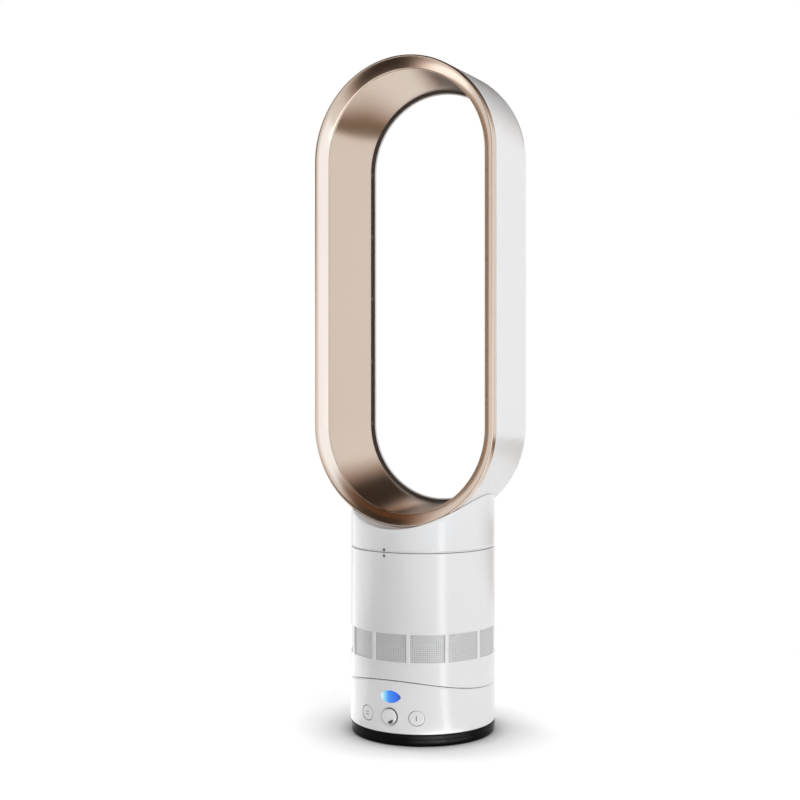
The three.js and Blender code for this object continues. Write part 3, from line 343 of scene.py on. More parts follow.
@dataclass(frozen=True)
class Finish:
    """A procedural finish: a base colour that drifts, a gloss that varies and a fine relief.

    The colours are linear. tone and gloss are the low and high ends of their spread.
    """

    name: str
    colour: Triple
    gloss: Point = (0.25, 0.35)
    tone: Point = (0.97, 1.03)
    tone_scale: float = 6.0
    metallic: float = 0.0
    relief_scale: float = 900.0
    relief_depth: float = 0.02
    # a lighter colour painted on outer edges as an edge highlight
    edge_highlight_colour: Triple | None = None
    coat: float = 0.0
    coat_gloss: float = 0.08
    specular: float = 0.5
    turned: bool = False

    def build(self, effects: Effects) -> Material:
        """Makes the material.

        Args:
            effects: The shared shader groups.

        Returns:
            The finished material.
        """
        material = bpy.data.materials.new(self.name)
        material.use_nodes = True
        wires = Wiring(material.node_tree)
        surface = wires.tree.nodes["Principled BSDF"]
        height = wires.add("ShaderNodeGroup", {"Scale": self.relief_scale},
                           node_tree=effects.lines if self.turned else effects.relief)
        wires.put(surface, {
            "Base Color": self.base_colour(wires, effects),
            "Roughness": wires.add("ShaderNodeGroup", {"Low": self.gloss[0], "High": self.gloss[1]},
                                   node_tree=effects.marks),
            "Normal": wires.add("ShaderNodeBump", {"Height": height, "Strength": self.relief_depth,
                                                   "Distance": BUMP_DISTANCE}),
            "Metallic": self.metallic, "Specular IOR Level": self.specular,
            "Coat Weight": self.coat, "Coat Roughness": self.coat_gloss})
        self.add_own(wires, surface)
        return material

    def base_colour(self, wires: Wiring, effects: Effects) -> Socket:
        """Makes the drifting base colour, with painted highlights on outer edges where the finish has them.

        Args:
            wires: The material's wiring.
            effects: The shared shader groups.

        Returns:
            The colour.
        """
        tone = wires.add("ShaderNodeGroup", {"Low": self.tone[0], "High": self.tone[1],
                                             "Scale": self.tone_scale}, node_tree=effects.tone)
        shade = wires.add("ShaderNodeVectorMath", {0: self.colour, "Scale": tone}, operation="SCALE")
        if self.edge_highlight_colour is None:
            return shade
        return wires.blend(wires.add("ShaderNodeGroup", node_tree=effects.edges), shade, self.edge_highlight_colour)

    def add_own(self, wires: Wiring, surface: Node) -> None:
        """Leaves room for a finish that adds nodes of its own."""


@dataclass(frozen=True)
class DisplayGlow(Finish):
    """A tinted window lit from behind, glowing deep blue at its right end, with a painted highlight of
    white-cyan at its left end.
    """

    ends: Point = (-12 * MM, 14 * MM)
    strength: float = 0.85
    # the glow's colours; the white-cyan stops at the left end are a painted highlight
    stops: tuple[tuple[float, Triple], ...] = (
        (0.08, (0.75, 1.0, 1.0)), (0.24, (0.26, 0.7, 1.0)), (0.44, (0.06, 0.3, 0.9)),
        (0.8, (0.03, 0.15, 0.88)), (1.0, (0.01, 0.1, 0.35)))

    def add_own(self, wires: Wiring, surface: Node) -> None:
        """Adds the glow and its painted highlight, which follow the window's width."""
        across = wires.add("ShaderNodeSeparateXYZ", {"Vector": wires.place()}, out="X")
        share = wires.add("ShaderNodeMapRange", {"Value": across, "From Min": self.ends[0],
                                                 "From Max": self.ends[1]})
        wires.put(surface, {"Emission Color": wires.ramp(share, self.stops),
                            "Emission Strength": self.strength})


@dataclass(frozen=True)
class PointerShade(Finish):
    """The white of the knob, with its scooped pointer darkened by painted shade."""

    # the colour of the painted shade in the pointer scoop
    paint: Triple = (0.03, 0.03, 0.032)

    def add_own(self, wires: Wiring, surface: Node) -> None:
        """Mixes the dark painted shade over the base colour where the mesh's paint attribute is set."""
        base = surface.inputs["Base Color"].links[0].from_socket
        share = wires.add("ShaderNodeAttribute", out="Fac", attribute_name="paint")
        wires.put(surface, {"Base Color": wires.blend(share, base, self.paint)})


class Palette:
    """Every material of the fan, by its slot or its own name."""

    def __init__(self) -> None:
        """Builds the materials."""
        effects = Effects()
        white = {"colour": (0.80, 0.80, 0.805), "gloss": (0.16, 0.24), "tone": (0.985, 1.015),
                 "relief_scale": 420.0, "relief_depth": 0.03, "coat": 0.5}
        moulding = {"gloss": (0.45, 0.6), "relief_depth": 0.12}
        finishes = {
            Slot.WHITE: Finish("white_moulding", **white),
            Slot.ROSE: Finish("rose_plating", (0.66, 0.545, 0.455), (0.17, 0.23), (0.98, 1.02),
                              metallic=1.0, relief_scale=700.0, relief_depth=0.015,
                              edge_highlight_colour=(0.74, 0.64, 0.56)),
            Slot.BLACK: Finish("black_moulding", (0.004, 0.004, 0.0045), (0.14, 0.22), specular=0.05,
                               edge_highlight_colour=(0.012, 0.012, 0.013), relief_depth=0.05),
            Slot.RUBBER: Finish("matt_rubber", (0.022, 0.022, 0.023), (0.75, 0.92), relief_scale=1600.0,
                                relief_depth=0.25),
            Slot.STEEL: Finish("turned_steel", (0.52, 0.53, 0.54), (0.25, 0.4), metallic=1.0, turned=True,
                               relief_depth=0.12),
            Slot.ACETAL: Finish("natural_acetal", (0.72, 0.70, 0.62), (0.4, 0.55)),
            Slot.GREY: Finish("grey_moulding", (0.30, 0.31, 0.32), edge_highlight_colour=(0.36, 0.37, 0.38),
                              **moulding),
            Slot.DARK: Finish("dark_moulding", (0.035, 0.035, 0.038), edge_highlight_colour=(0.06, 0.06, 0.064),
                              **moulding),
            Slot.CIRCUIT: Finish("circuit_green", (0.02, 0.13, 0.06), (0.35, 0.5), (0.7, 1.3),
                                 tone_scale=220.0),
            Slot.LENS: DisplayGlow("display_glow", (0.01, 0.03, 0.12), (0.05, 0.09), specular=0.3,
                                   relief_depth=0.0),
            Slot.GRILLE: Finish("perforated_sheet", (0.64, 0.64, 0.645), (0.35, 0.45), metallic=0.15,
                                relief_depth=0.06),
        }
        self.slots = {slot: finish.build(effects) for slot, finish in finishes.items()}
        self.white = self.slots[Slot.WHITE]
        # the knob's white, with painted shade in its pointer scoop
        self.pointer = PointerShade("knob_white", **white).build(effects)
        self.mark = Finish("printed_grey", (0.16, 0.16, 0.165), (0.4, 0.5)).build(effects)
        # painted shade: the duct's inner faces and the slit spacers are coloured dark to stand in for shade
        # in the slit
        self.inside = Finish("duct_inside", (0.26, 0.22, 0.2), (0.55, 0.7),
                             relief_depth=0.08).build(effects)

    def __getitem__(self, slot: Slot) -> Material:
        """The material of one of the record's slots."""
        return self.slots[slot]

    def dress_packed_nodes(self) -> None:
        """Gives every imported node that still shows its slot's material."""
        slots = {part["node"]: part["material_slot"] for part in frame["record"]["subparts"]}
        for name, node in frame["nodes"].items():
            material = self[Slot(slots[name])]
            if not node.material_slots:
                node.data.materials.append(material)
            for place in node.material_slots:
                place.material = material


# ---------------------------------------------------------------- mesh making


def linked(piece: Piece) -> Piece:
    """Puts an object into the scene and gives it back."""
    bpy.context.scene.collection.objects.link(piece)
    return piece


def plain_mesh(name: str, points: Iterable[Sequence[float]], faces: Faces, unit: float = MM) -> Mesh:
    """Makes a mesh.

    Args:
        name: The mesh's name.
        points: Corner places.
        faces: Corner numbers of each face.
        unit: Metres in one unit of the corner places.

    Returns:
        The mesh.
    """
    mesh = bpy.data.meshes.new(name)
    mesh.from_pydata([tuple(part * unit for part in point) for point in points], [], faces)
    return mesh


def new_object(name: str, points: Iterable[Sequence[float]], faces: Faces,
               paint: Sequence[float] | None = None) -> Piece:
    """Makes a mesh object at the origin with its faces outwards.

    Args:
        name: The piece's name.
        points: Corner places, in millimetres.
        faces: Corner numbers of each face.
        paint: Share of painted shade at each corner; a piece that has it isn't welded.

    Returns:
        The linked object.
    """
    mesh = plain_mesh(name, points, faces)
    if paint is not None:
        mesh.attributes.new("paint", "FLOAT", "POINT").data.foreach_set("value", paint)
    work = bmesh.new()
    work.from_mesh(mesh)
    if paint is None:
        bmesh.ops.remove_doubles(work, verts=work.verts, dist=WELD_DISTANCE)
    bmesh.ops.recalc_face_normals(work, faces=work.faces)
    work.to_mesh(mesh)
    work.free()
    return linked(bpy.data.objects.new(name, mesh))


def smooth(piece: Piece, angle: float = 32.0) -> None:
    """Shades a piece smooth, and sharp where its faces meet at more than an angle in degrees."""
    piece.data.shade_smooth()
    piece.data.set_sharp_from_angle(angle=math.radians(angle))


def mix(start: float, end: float, share: float) -> float:
    """The value that lies a share of the way from one value to another."""
    return start + (end - start) * share


def angles(steps: int) -> list[float]:
    """Evenly spaced angles round a circle, in radians."""
    return [2 * math.pi * i / steps for i in range(steps)]


def ring(radius: float, height: float | Callable[[float, float], float], spots: Sequence[float]) -> Row:
    """Points round the vertical axis, from the front towards +X.

    Args:
        radius: Distance from the axis.
        height: Height of the ring, or what gives it at an x and y.
        spots: The points' angles.

    Returns:
        The points.
    """
    flat = [(radius * math.sin(a), -radius * math.cos(a)) for a in spots]
    return [(x, y, height(x, y) if callable(height) else height) for x, y in flat]


def grid_faces(rows: int, columns: int, wrap_rows: bool = True) -> Faces:
    """Quads over a grid of points whose columns always close on themselves.

    Args:
        rows: Number of rows.
        columns: Number of points in each row.
        wrap_rows: Whether the last row joins the first.

    Returns:
        The quads.
    """
    faces = []
    for row in range(rows if wrap_rows else rows - 1):
        here, after = row * columns, (row + 1) % rows * columns
        for column in range(columns):
            turn = (column + 1) % columns
            faces.append((here + column, here + turn, after + turn, after + column))
    return faces


def flatten(rows: Sequence[Row]) -> Row:
    """The points of all rows, one after the other."""
    return [point for row in rows for point in row]


def skin(name: str, rows: Sequence[Row]) -> Piece:
    """A piece whose section closes on itself: the last row of points joins the first."""
    return new_object(name, flatten(rows), grid_faces(len(rows), len(rows[0])))


def plug(name: str, rows: Sequence[Row], paint: Sequence[float] | None = None) -> Piece:
    """A solid over rows of points, closed by a face over its first row and one over its last.

    Args:
        name: The piece's name.
        rows: Its rows of points, in millimetres.
        paint: Share of painted shade at each point, if it has any.

    Returns:
        The piece.
    """
    columns = len(rows[0])
    last = len(rows) * columns
    faces = [*grid_faces(len(rows), columns, wrap_rows=False), tuple(range(columns)),
             tuple(range(last - 1, last - columns - 1, -1))]
    return new_object(name, flatten(rows), faces, paint)


def drum_along_y(name: str, radius: float, x: float, z: float, front: float, rear: float,
                 taper: float = 0.0, steps: int = 64) -> Piece:
    """A closed cylinder along Y.

    Args:
        name: The piece's name.
        radius: Its radius at the front, in millimetres like the rest.
        x: Where its axis lies.
        z: Height of its axis.
        front: Y of its front face.
        rear: Y of its rear face.
        taper: How much smaller its radius is at the rear.
        steps: Number of sides.

    Returns:
        The piece.
    """
    return plug(name, [[(x + r * math.sin(a), y, z + r * math.cos(a)) for a in angles(steps)]
                       for y, r in ((front, radius), (rear, radius - taper))])


def prism_along_y(name: str, outline: Outline, front: float, rear: float) -> Piece:
    """A closed prism along Y over an [x, z] outline, sizes in millimetres."""
    return plug(name, [[(x, y, z) for x, z in outline] for y in (front, rear)])


def block(name: str, low: Triple, high: Triple) -> Piece:
    """A closed block between two corners, in millimetres."""
    outline = [(low[0], low[2]), (high[0], low[2]), (high[0], high[2]), (low[0], high[2])]
    return prism_along_y(name, outline, low[1], high[1])


def rounded(corners: Outline, radii: Sequence[float], steps: int = 4) -> list[Point]:
    """Rounds the corners of a closed outline.

    Args:
        corners: The outline's corners.
        radii: Rounding of each corner, 0 for a sharp one.
        steps: Steps in each rounding.

    Returns:
        The rounded outline.
    """
    outline: list[Point] = []
    for i, corner in enumerate(corners):
        if radii[i] <= 0:
            outline.append(corner)
            continue
        here = Vector(corner)
        before = Vector(corners[i - 1]) - here
        after = Vector(corners[(i + 1) % len(corners)]) - here
        reach = min(radii[i], 0.49 * before.length, 0.49 * after.length)
        start = here + before.normalized() * reach
        end = here + after.normalized() * reach
        for t in (step / steps for step in range(steps + 1)):
            spot = start * (1 - t) ** 2 + here * 2 * t * (1 - t) + end * t ** 2
            outline.append((spot.x, spot.y))
    return outline


def arc(centre: Point, reach: float, depth: float, start: float, end: float, steps: int) -> list[Point]:
    """Points on an ellipse, with angles in degrees measured from +Y towards larger offsets."""
    turns = [math.radians(start + (end - start) * i / steps) for i in range(steps + 1)]
    return [(centre[0] + reach * math.sin(a), centre[1] + depth * math.cos(a)) for a in turns]


def shifted(outline: Outline, across: float, along: float) -> list[Point]:
    """An outline moved by two distances."""
    return [(x + across, y + along) for x, y in outline]


def apply_modifiers(piece: Piece) -> None:
    """Turns a piece's modifiers into plain mesh."""
    bpy.context.view_layer.update()
    graph = bpy.context.evaluated_depsgraph_get()
    mesh = bpy.data.meshes.new_from_object(piece.evaluated_get(graph), depsgraph=graph)
    piece.modifiers.clear()
    piece.data = mesh


def cut_away(piece: Piece, cutters: Iterable[Piece]) -> None:
    """Cuts other objects' shapes out of a piece and removes them."""
    for cutter in cutters:
        step = piece.modifiers.new("cut", "BOOLEAN")
        step.operation = "DIFFERENCE"
        step.solver = "EXACT"
        step.object = cutter
        apply_modifiers(piece)
        bpy.data.objects.remove(cutter)


def follow_cylinder(piece: Piece, radius: float) -> None:
    """Gives the faces that lie on a vertical cylinder the cylinder's own normals.

    Args:
        piece: A cut shell whose flat faces would catch the light.
        radius: The cylinder's radius, in millimetres.
    """
    sharp_angle, facing, tolerance, near_axis = 30.0, 0.99, 0.2 * MM, 1e-6
    smooth(piece, sharp_angle)
    mesh = piece.data
    normals = [Vector(corner.vector) for corner in mesh.corner_normals]
    for face in mesh.polygons:
        outwards = Vector((face.center.x, face.center.y, 0.0))
        if outwards.length < near_axis or face.normal.dot(outwards.normalized()) < facing:
            continue
        for loop in face.loop_indices:
            spot = mesh.vertices[mesh.loops[loop].vertex_index].co
            flat = Vector((spot.x, spot.y, 0.0))
            if abs(flat.length - radius * MM) < tolerance:
                normals[loop] = flat.normalized()
    mesh.normals_split_custom_set([tuple(n) for n in normals])


def dress(piece: Piece, body: Body, slot: Slot, *materials: Material) -> Piece:
    """Gives a new piece its materials and its body.

    Args:
        piece: The piece, finished and in place.
        body: The body that it rides on.
        slot: The record's slot that it takes its finish from; not used.
        materials: Its material, and any others that its faces name.

    Returns:
        The same piece.
    """
    indices = [face.material_index for face in piece.data.polygons]
    piece.data.materials.clear()
    for material in materials:
        piece.data.materials.append(material)
    piece.data.polygons.foreach_set("material_index", indices)
    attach(piece, body.value)
    LOG.info("%s rides on %s", piece.name, body.value)
    return piece


@dataclass(frozen=True)
class Mark:
    """A printed alignment dot bent round the tower, in millimetres and degrees from the front."""

    name: str
    cylinder: float
    height: float
    azimuth: float = -4.6
    radius: float = 1.9
    sides: int = 32
    proud: float = 0.04
    sunk: float = 0.3

    def build(self) -> Piece:
        """Builds the dot."""
        middle = math.radians(self.azimuth)
        rows = []
        for reach in (self.cylinder + self.proud, self.cylinder - self.sunk):
            row = []
            for turn in angles(self.sides):
                a = middle + self.radius * math.sin(turn) / self.cylinder
                height = self.height + self.radius * math.cos(turn)
                row.append((reach * math.sin(a), -reach * math.cos(a), height))
            rows.append(row)
        return plug(self.name, rows)


# ---------------------------------------------------------------- sub-assemblies


@dataclass
class Loop:
    """The air loop: rear shell, plated rim and plated throat, swept round a stadium outline.

    Section points are [inward offset from the outline, y], in millimetres.
    """

    palette: Palette
    shell_wall: float = 2.5
    bezel_back: float = -50.0
    bezel_seam: float = 0.6
    shell_edge: Outline = ((1.1, 0.0), (0.45, 0.25), (0.1, 0.8), (0.0, 1.6))
    rim_edge: Outline = ((0.0, 1.2), (0.1, 0.7), (0.35, 0.3), (0.8, 0.06))
    rim_fillet: Point = (0.1, 0.3)
    throat_edge: Outline = ((-1.1, 0.0), (-0.6, 0.1), (-0.2, 0.4), (0.0, 0.9), (0.07, 1.5))
    rim_width: float = 15.3
    crown_start: float = 1.4
    crown_drop: float = 9.8
    crown_power: float = 1.35
    crown_steps: int = 12
    tongue: float = 6.0
    tongue_gap: float = 0.3
    nose_width: float = 13.0
    nose_length: float = 25.0
    nose_steps: int = 14
    lip_reach: float = 15.4
    lip_depth: float = 12.0
    lip_sweep: float = 60.0
    lip_steps: int = 12
    lip_thinning: Point = (0.7, 0.4)
    mouth_offset: float = 22.3
    mouth_y: float = 45.5
    roll_radius: float = 5.0
    roll_steps: tuple[int, int] = (12, 6)
    throat_wall: float = 2.2
    end_steps: int = 72
    side_steps: int = 16
    spacers: int = 5
    spacer_size: Triple = (5.0, 8.2, 6.0)
    spacer_inset: Point = (4.6, 4.0)

    def __post_init__(self) -> None:
        """Takes the loop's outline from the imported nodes."""
        low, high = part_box("rear_shell")
        self.half_width = high[0] / MM
        self.rear = high[1] / MM
        self.low_centre = low[2] / MM + self.half_width
        self.high_centre = high[2] / MM - self.half_width
        self.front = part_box("front_bezel")[0][1] / MM

    def stations(self) -> list[tuple[float, float, float]]:
        """Stations round the outline: x and z direction outwards, and the z they start from."""
        spots = []
        for start, centre in ((math.pi, self.low_centre), (0.0, self.high_centre)):
            for i in range(self.end_steps + 1):
                a = start + math.pi * i / self.end_steps
                spots.append((math.cos(a), math.sin(a), centre))
            side = 1.0 if start else -1.0
            length = (self.high_centre - self.low_centre) * side
            for i in range(1, self.side_steps):
                spots.append((side, 0.0, centre + length * i / self.side_steps))
        return spots

    def sweep(self, name: str, section: Outline, dark: Iterable[int] = ()) -> Piece:
        """Carries a closed section round the loop.

        Args:
            name: The piece's name.
            section: Its section.
            dark: Sides of the section that take the piece's second material.

        Returns:
            The piece.
        """
        rows = [[((self.half_width - offset) * x, y, base + (self.half_width - offset) * z)
                 for offset, y in section] for x, z, base in self.stations()]
        piece = skin(name, rows)
        sides = set(dark)
        for face in piece.data.polygons:
            face.material_index = int(face.index % len(section) in sides)
        smooth(piece)
        return piece

    def shell_section(self) -> tuple[list[Point], range]:
        """The white shell's section, with a small front fillet and a rounded lip.

        Returns:
            The section, and the sides of it that face the duct inside.
        """
        wall, front = self.shell_wall, self.bezel_back + self.bezel_seam
        nose = (self.nose_width, self.rear - self.nose_length)
        lip = (self.nose_width, self.rear - self.lip_depth)
        outer = shifted(self.shell_edge, 0.0, front)
        outer += arc(nose, self.nose_width, self.nose_length, -90, 0, self.nose_steps)[:-1]
        outer += arc(lip, self.lip_reach, self.lip_depth, 0, self.lip_sweep, self.lip_steps)
        thinner, shallower = self.lip_thinning
        inner = arc(lip, self.lip_reach - thinner * wall, self.lip_depth - wall + shallower,
                    self.lip_sweep, 0, self.lip_steps)[:-1]
        inner += arc(nose, self.nose_width - wall, self.nose_length - wall, 0, -90, self.nose_steps)
        return outer + inner + [(wall, front)], range(len(outer), len(outer) + len(inner))

    def crown(self, offset: float) -> Point:
        """The point of the rim's face at an offset from the outline."""
        share = max(0.0, offset - self.crown_start) / (self.rim_width - self.crown_start)
        return offset, self.front + self.crown_drop * share ** self.crown_power

    def bezel_section(self) -> list[Point]:
        """The rim's section: side band, tight outer edge, crowned face, inner edge and key."""
        back, front, width = self.bezel_back, self.front, self.rim_width
        inset, rise = self.rim_fillet
        keys = (width - self.throat_wall - self.tongue_gap, self.shell_wall + self.tongue_gap)
        reach = width - self.crown_start - rise
        offsets = [self.crown_start + reach * i / self.crown_steps for i in range(self.crown_steps + 1)]
        return [(0.0, back), *shifted(self.rim_edge, 0.0, front), *map(self.crown, offsets),
                (width, back - rise), (width - inset, back), (keys[0], back),
                (keys[0], back + self.tongue), (keys[1], back + self.tongue), (keys[1], back)]

    def throat_section(self) -> list[Point]:
        """The throat's section: a flat cone that rolls away at the slit's mouth."""
        front, outside = self.bezel_back + self.bezel_seam, self.roll_radius
        centre = (self.mouth_offset - outside, self.mouth_y)
        inside = outside - self.throat_wall
        return [*shifted(self.throat_edge, self.rim_width, front),
                *arc(centre, outside, outside, 90, 0, self.roll_steps[0]),
                *arc(centre, inside, inside, 0, 90, self.roll_steps[1]),
                (self.rim_width - self.throat_wall, front)]

    def spacer_blocks(self) -> Piece:
        """The ribs that hold the slit open, one node tree for both sides."""
        shape = NodeShape("slit_spacers")
        count = shape.size("Count", self.spacers, "Int")
        span = shape.size("Span", (self.high_centre - self.low_centre) * MM)
        start = shape.size("Start", self.low_centre * MM)
        reach = shape.size("Reach", (self.half_width - self.mouth_offset + self.spacer_inset[0]) * MM)
        depth = shape.size("Depth", (self.mouth_y + self.roll_radius + self.spacer_inset[1]) * MM)
        step = shape.vector(z=shape.calc("DIVIDE", span, shape.calc("SUBTRACT", count, 1.0)))
        sides = [shape.calc("MULTIPLY", reach, side) for side in (-1.0, 1.0)]
        rows = [shape.line(count, step, shape.vector(x=x, y=depth, z=start)) for x in sides]
        both = shape.add("GeometryNodeJoinGeometry", {"Geometry": rows})
        brick = shape.add("GeometryNodeMeshCube", {"Size": tuple(size * MM for size in self.spacer_size)})
        # the ribs wear the duct's painted shade
        return shape.run("slit_spacers", shape.copies(both, brick), self.palette.inside)

    def build(self) -> None:
        """Builds and dresses the loop."""
        rose, inside = self.palette[Slot.ROSE], self.palette.inside
        # the shell's duct faces and the spacers take the duct's painted shade
        shell = self.sweep("loop_shell", *self.shell_section())
        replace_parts(dress(shell, Body.LOOP, Slot.WHITE, self.palette.white, inside), "rear_shell")
        bezel = self.sweep("loop_rim", self.bezel_section())
        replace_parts(dress(bezel, Body.LOOP, Slot.ROSE, rose), "front_bezel")
        throat = self.sweep("loop_throat", self.throat_section())
        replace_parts(dress(throat, Body.LOOP, Slot.ROSE, rose), "inner_wall")
        dress(self.spacer_blocks(), Body.LOOP, Slot.WHITE, inside)


@dataclass
class Collar:
    """The loop's collar: a ring that ends in a saddle for the loop, over the bayonet's spigot."""

    palette: Palette
    wall: float = 3.0
    chamfer: float = 2.3
    saddle_gap: float = 0.3
    saddle_inset: float = 1.4
    saddle_steps: int = 10
    saddle_edge: Outline = ((0.15, 0.7), (0.5, 0.3), (0.9, 0.08))
    seam_edge: Outline = ((1.2, 0.0), (1.2, 0.7), (0.9, 1.1), (0.5, 1.45), (0.2, 1.85), (0.05, 2.1))
    inner_drop: float = 1.0
    wall_top: float = 1.3
    spigot_outer: float = 82.9
    spigot_wall: float = 2.9
    spigot_depth: float = 13.8
    port: Point = (38.0, 32.0)
    port_y: float = -6.0
    steps: int = 192
    dot_height: float = 232.6

    def __post_init__(self) -> None:
        """Takes the ring's radius, its foot and the loop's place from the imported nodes."""
        low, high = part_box("loop_collar")
        self.radius = high[0] / MM
        self.seam = low[2] / MM + self.spigot_depth
        shell_low, shell_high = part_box("rear_shell")
        self.saddle = shell_high[0] / MM + self.saddle_gap
        self.centre = shell_low[2] / MM + shell_high[0] / MM

    def saddle_height(self, x: float, extra: float = 0.0) -> float:
        """Height of the saddle, or of a surface that much below it, at a place across the loop."""
        return self.centre - math.sqrt((self.saddle + extra) ** 2 - x ** 2)

    def saddle_row(self, share: float, extra: float) -> Row:
        """Points on the saddle.

        Args:
            share: Where they lie between the ring's edge and the port.
            extra: How far below the saddle they lie.

        Returns:
            The points.
        """
        edge = self.radius - self.saddle_inset
        row = []
        for a in angles(self.steps):
            x = mix(edge * math.sin(a), self.port[0] * math.sin(a), share)
            y = mix(-edge * math.cos(a), self.port_y - self.port[1] * math.cos(a), share)
            row.append((x, y, self.saddle_height(x, extra)))
        return row

    def rows(self) -> list[Row]:
        """Closed rows of points round the ring, from the seam up over the saddle and back inside."""
        r, wall, seam, count = self.radius, self.wall, self.seam, self.saddle_steps
        around = angles(self.steps)
        low = seam + self.chamfer
        rows = [ring(r - inset, seam + rise, around) for inset, rise in self.seam_edge]
        rows += [ring(r, lambda x, y: mix(low, self.saddle_height(x) - self.wall_top, i / count), around)
                 for i in range(count + 1)]
        rows += [ring(r - inset, lambda x, y: self.saddle_height(x) - drop, around)
                 for inset, drop in self.saddle_edge]
        rows += [self.saddle_row(i / count, 0.0) for i in range(count + 1)]
        rows += [self.saddle_row(1 - i / count, wall) for i in range(count)]
        rows.append(ring(r - wall, lambda x, y: self.saddle_height(x, wall) - self.inner_drop, around))
        bore = self.spigot_outer - self.spigot_wall
        rows += [ring(radius, height, around) for radius, height in (
            (r - wall, seam + wall), (bore, seam + wall), (bore, seam - self.spigot_depth),
            (self.spigot_outer, seam - self.spigot_depth), (self.spigot_outer, seam))]
        return rows

    def build(self) -> None:
        """Builds and dresses the collar and its alignment dot."""
        collar = skin("loop_collar_ring", self.rows())
        smooth(collar)
        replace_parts(dress(collar, Body.LOOP, Slot.WHITE, self.palette.white), "loop_collar")
        dot = Mark("collar_dot", self.radius, self.dot_height).build()
        dress(dot, Body.LOOP, Slot.DARK, self.palette.mark)


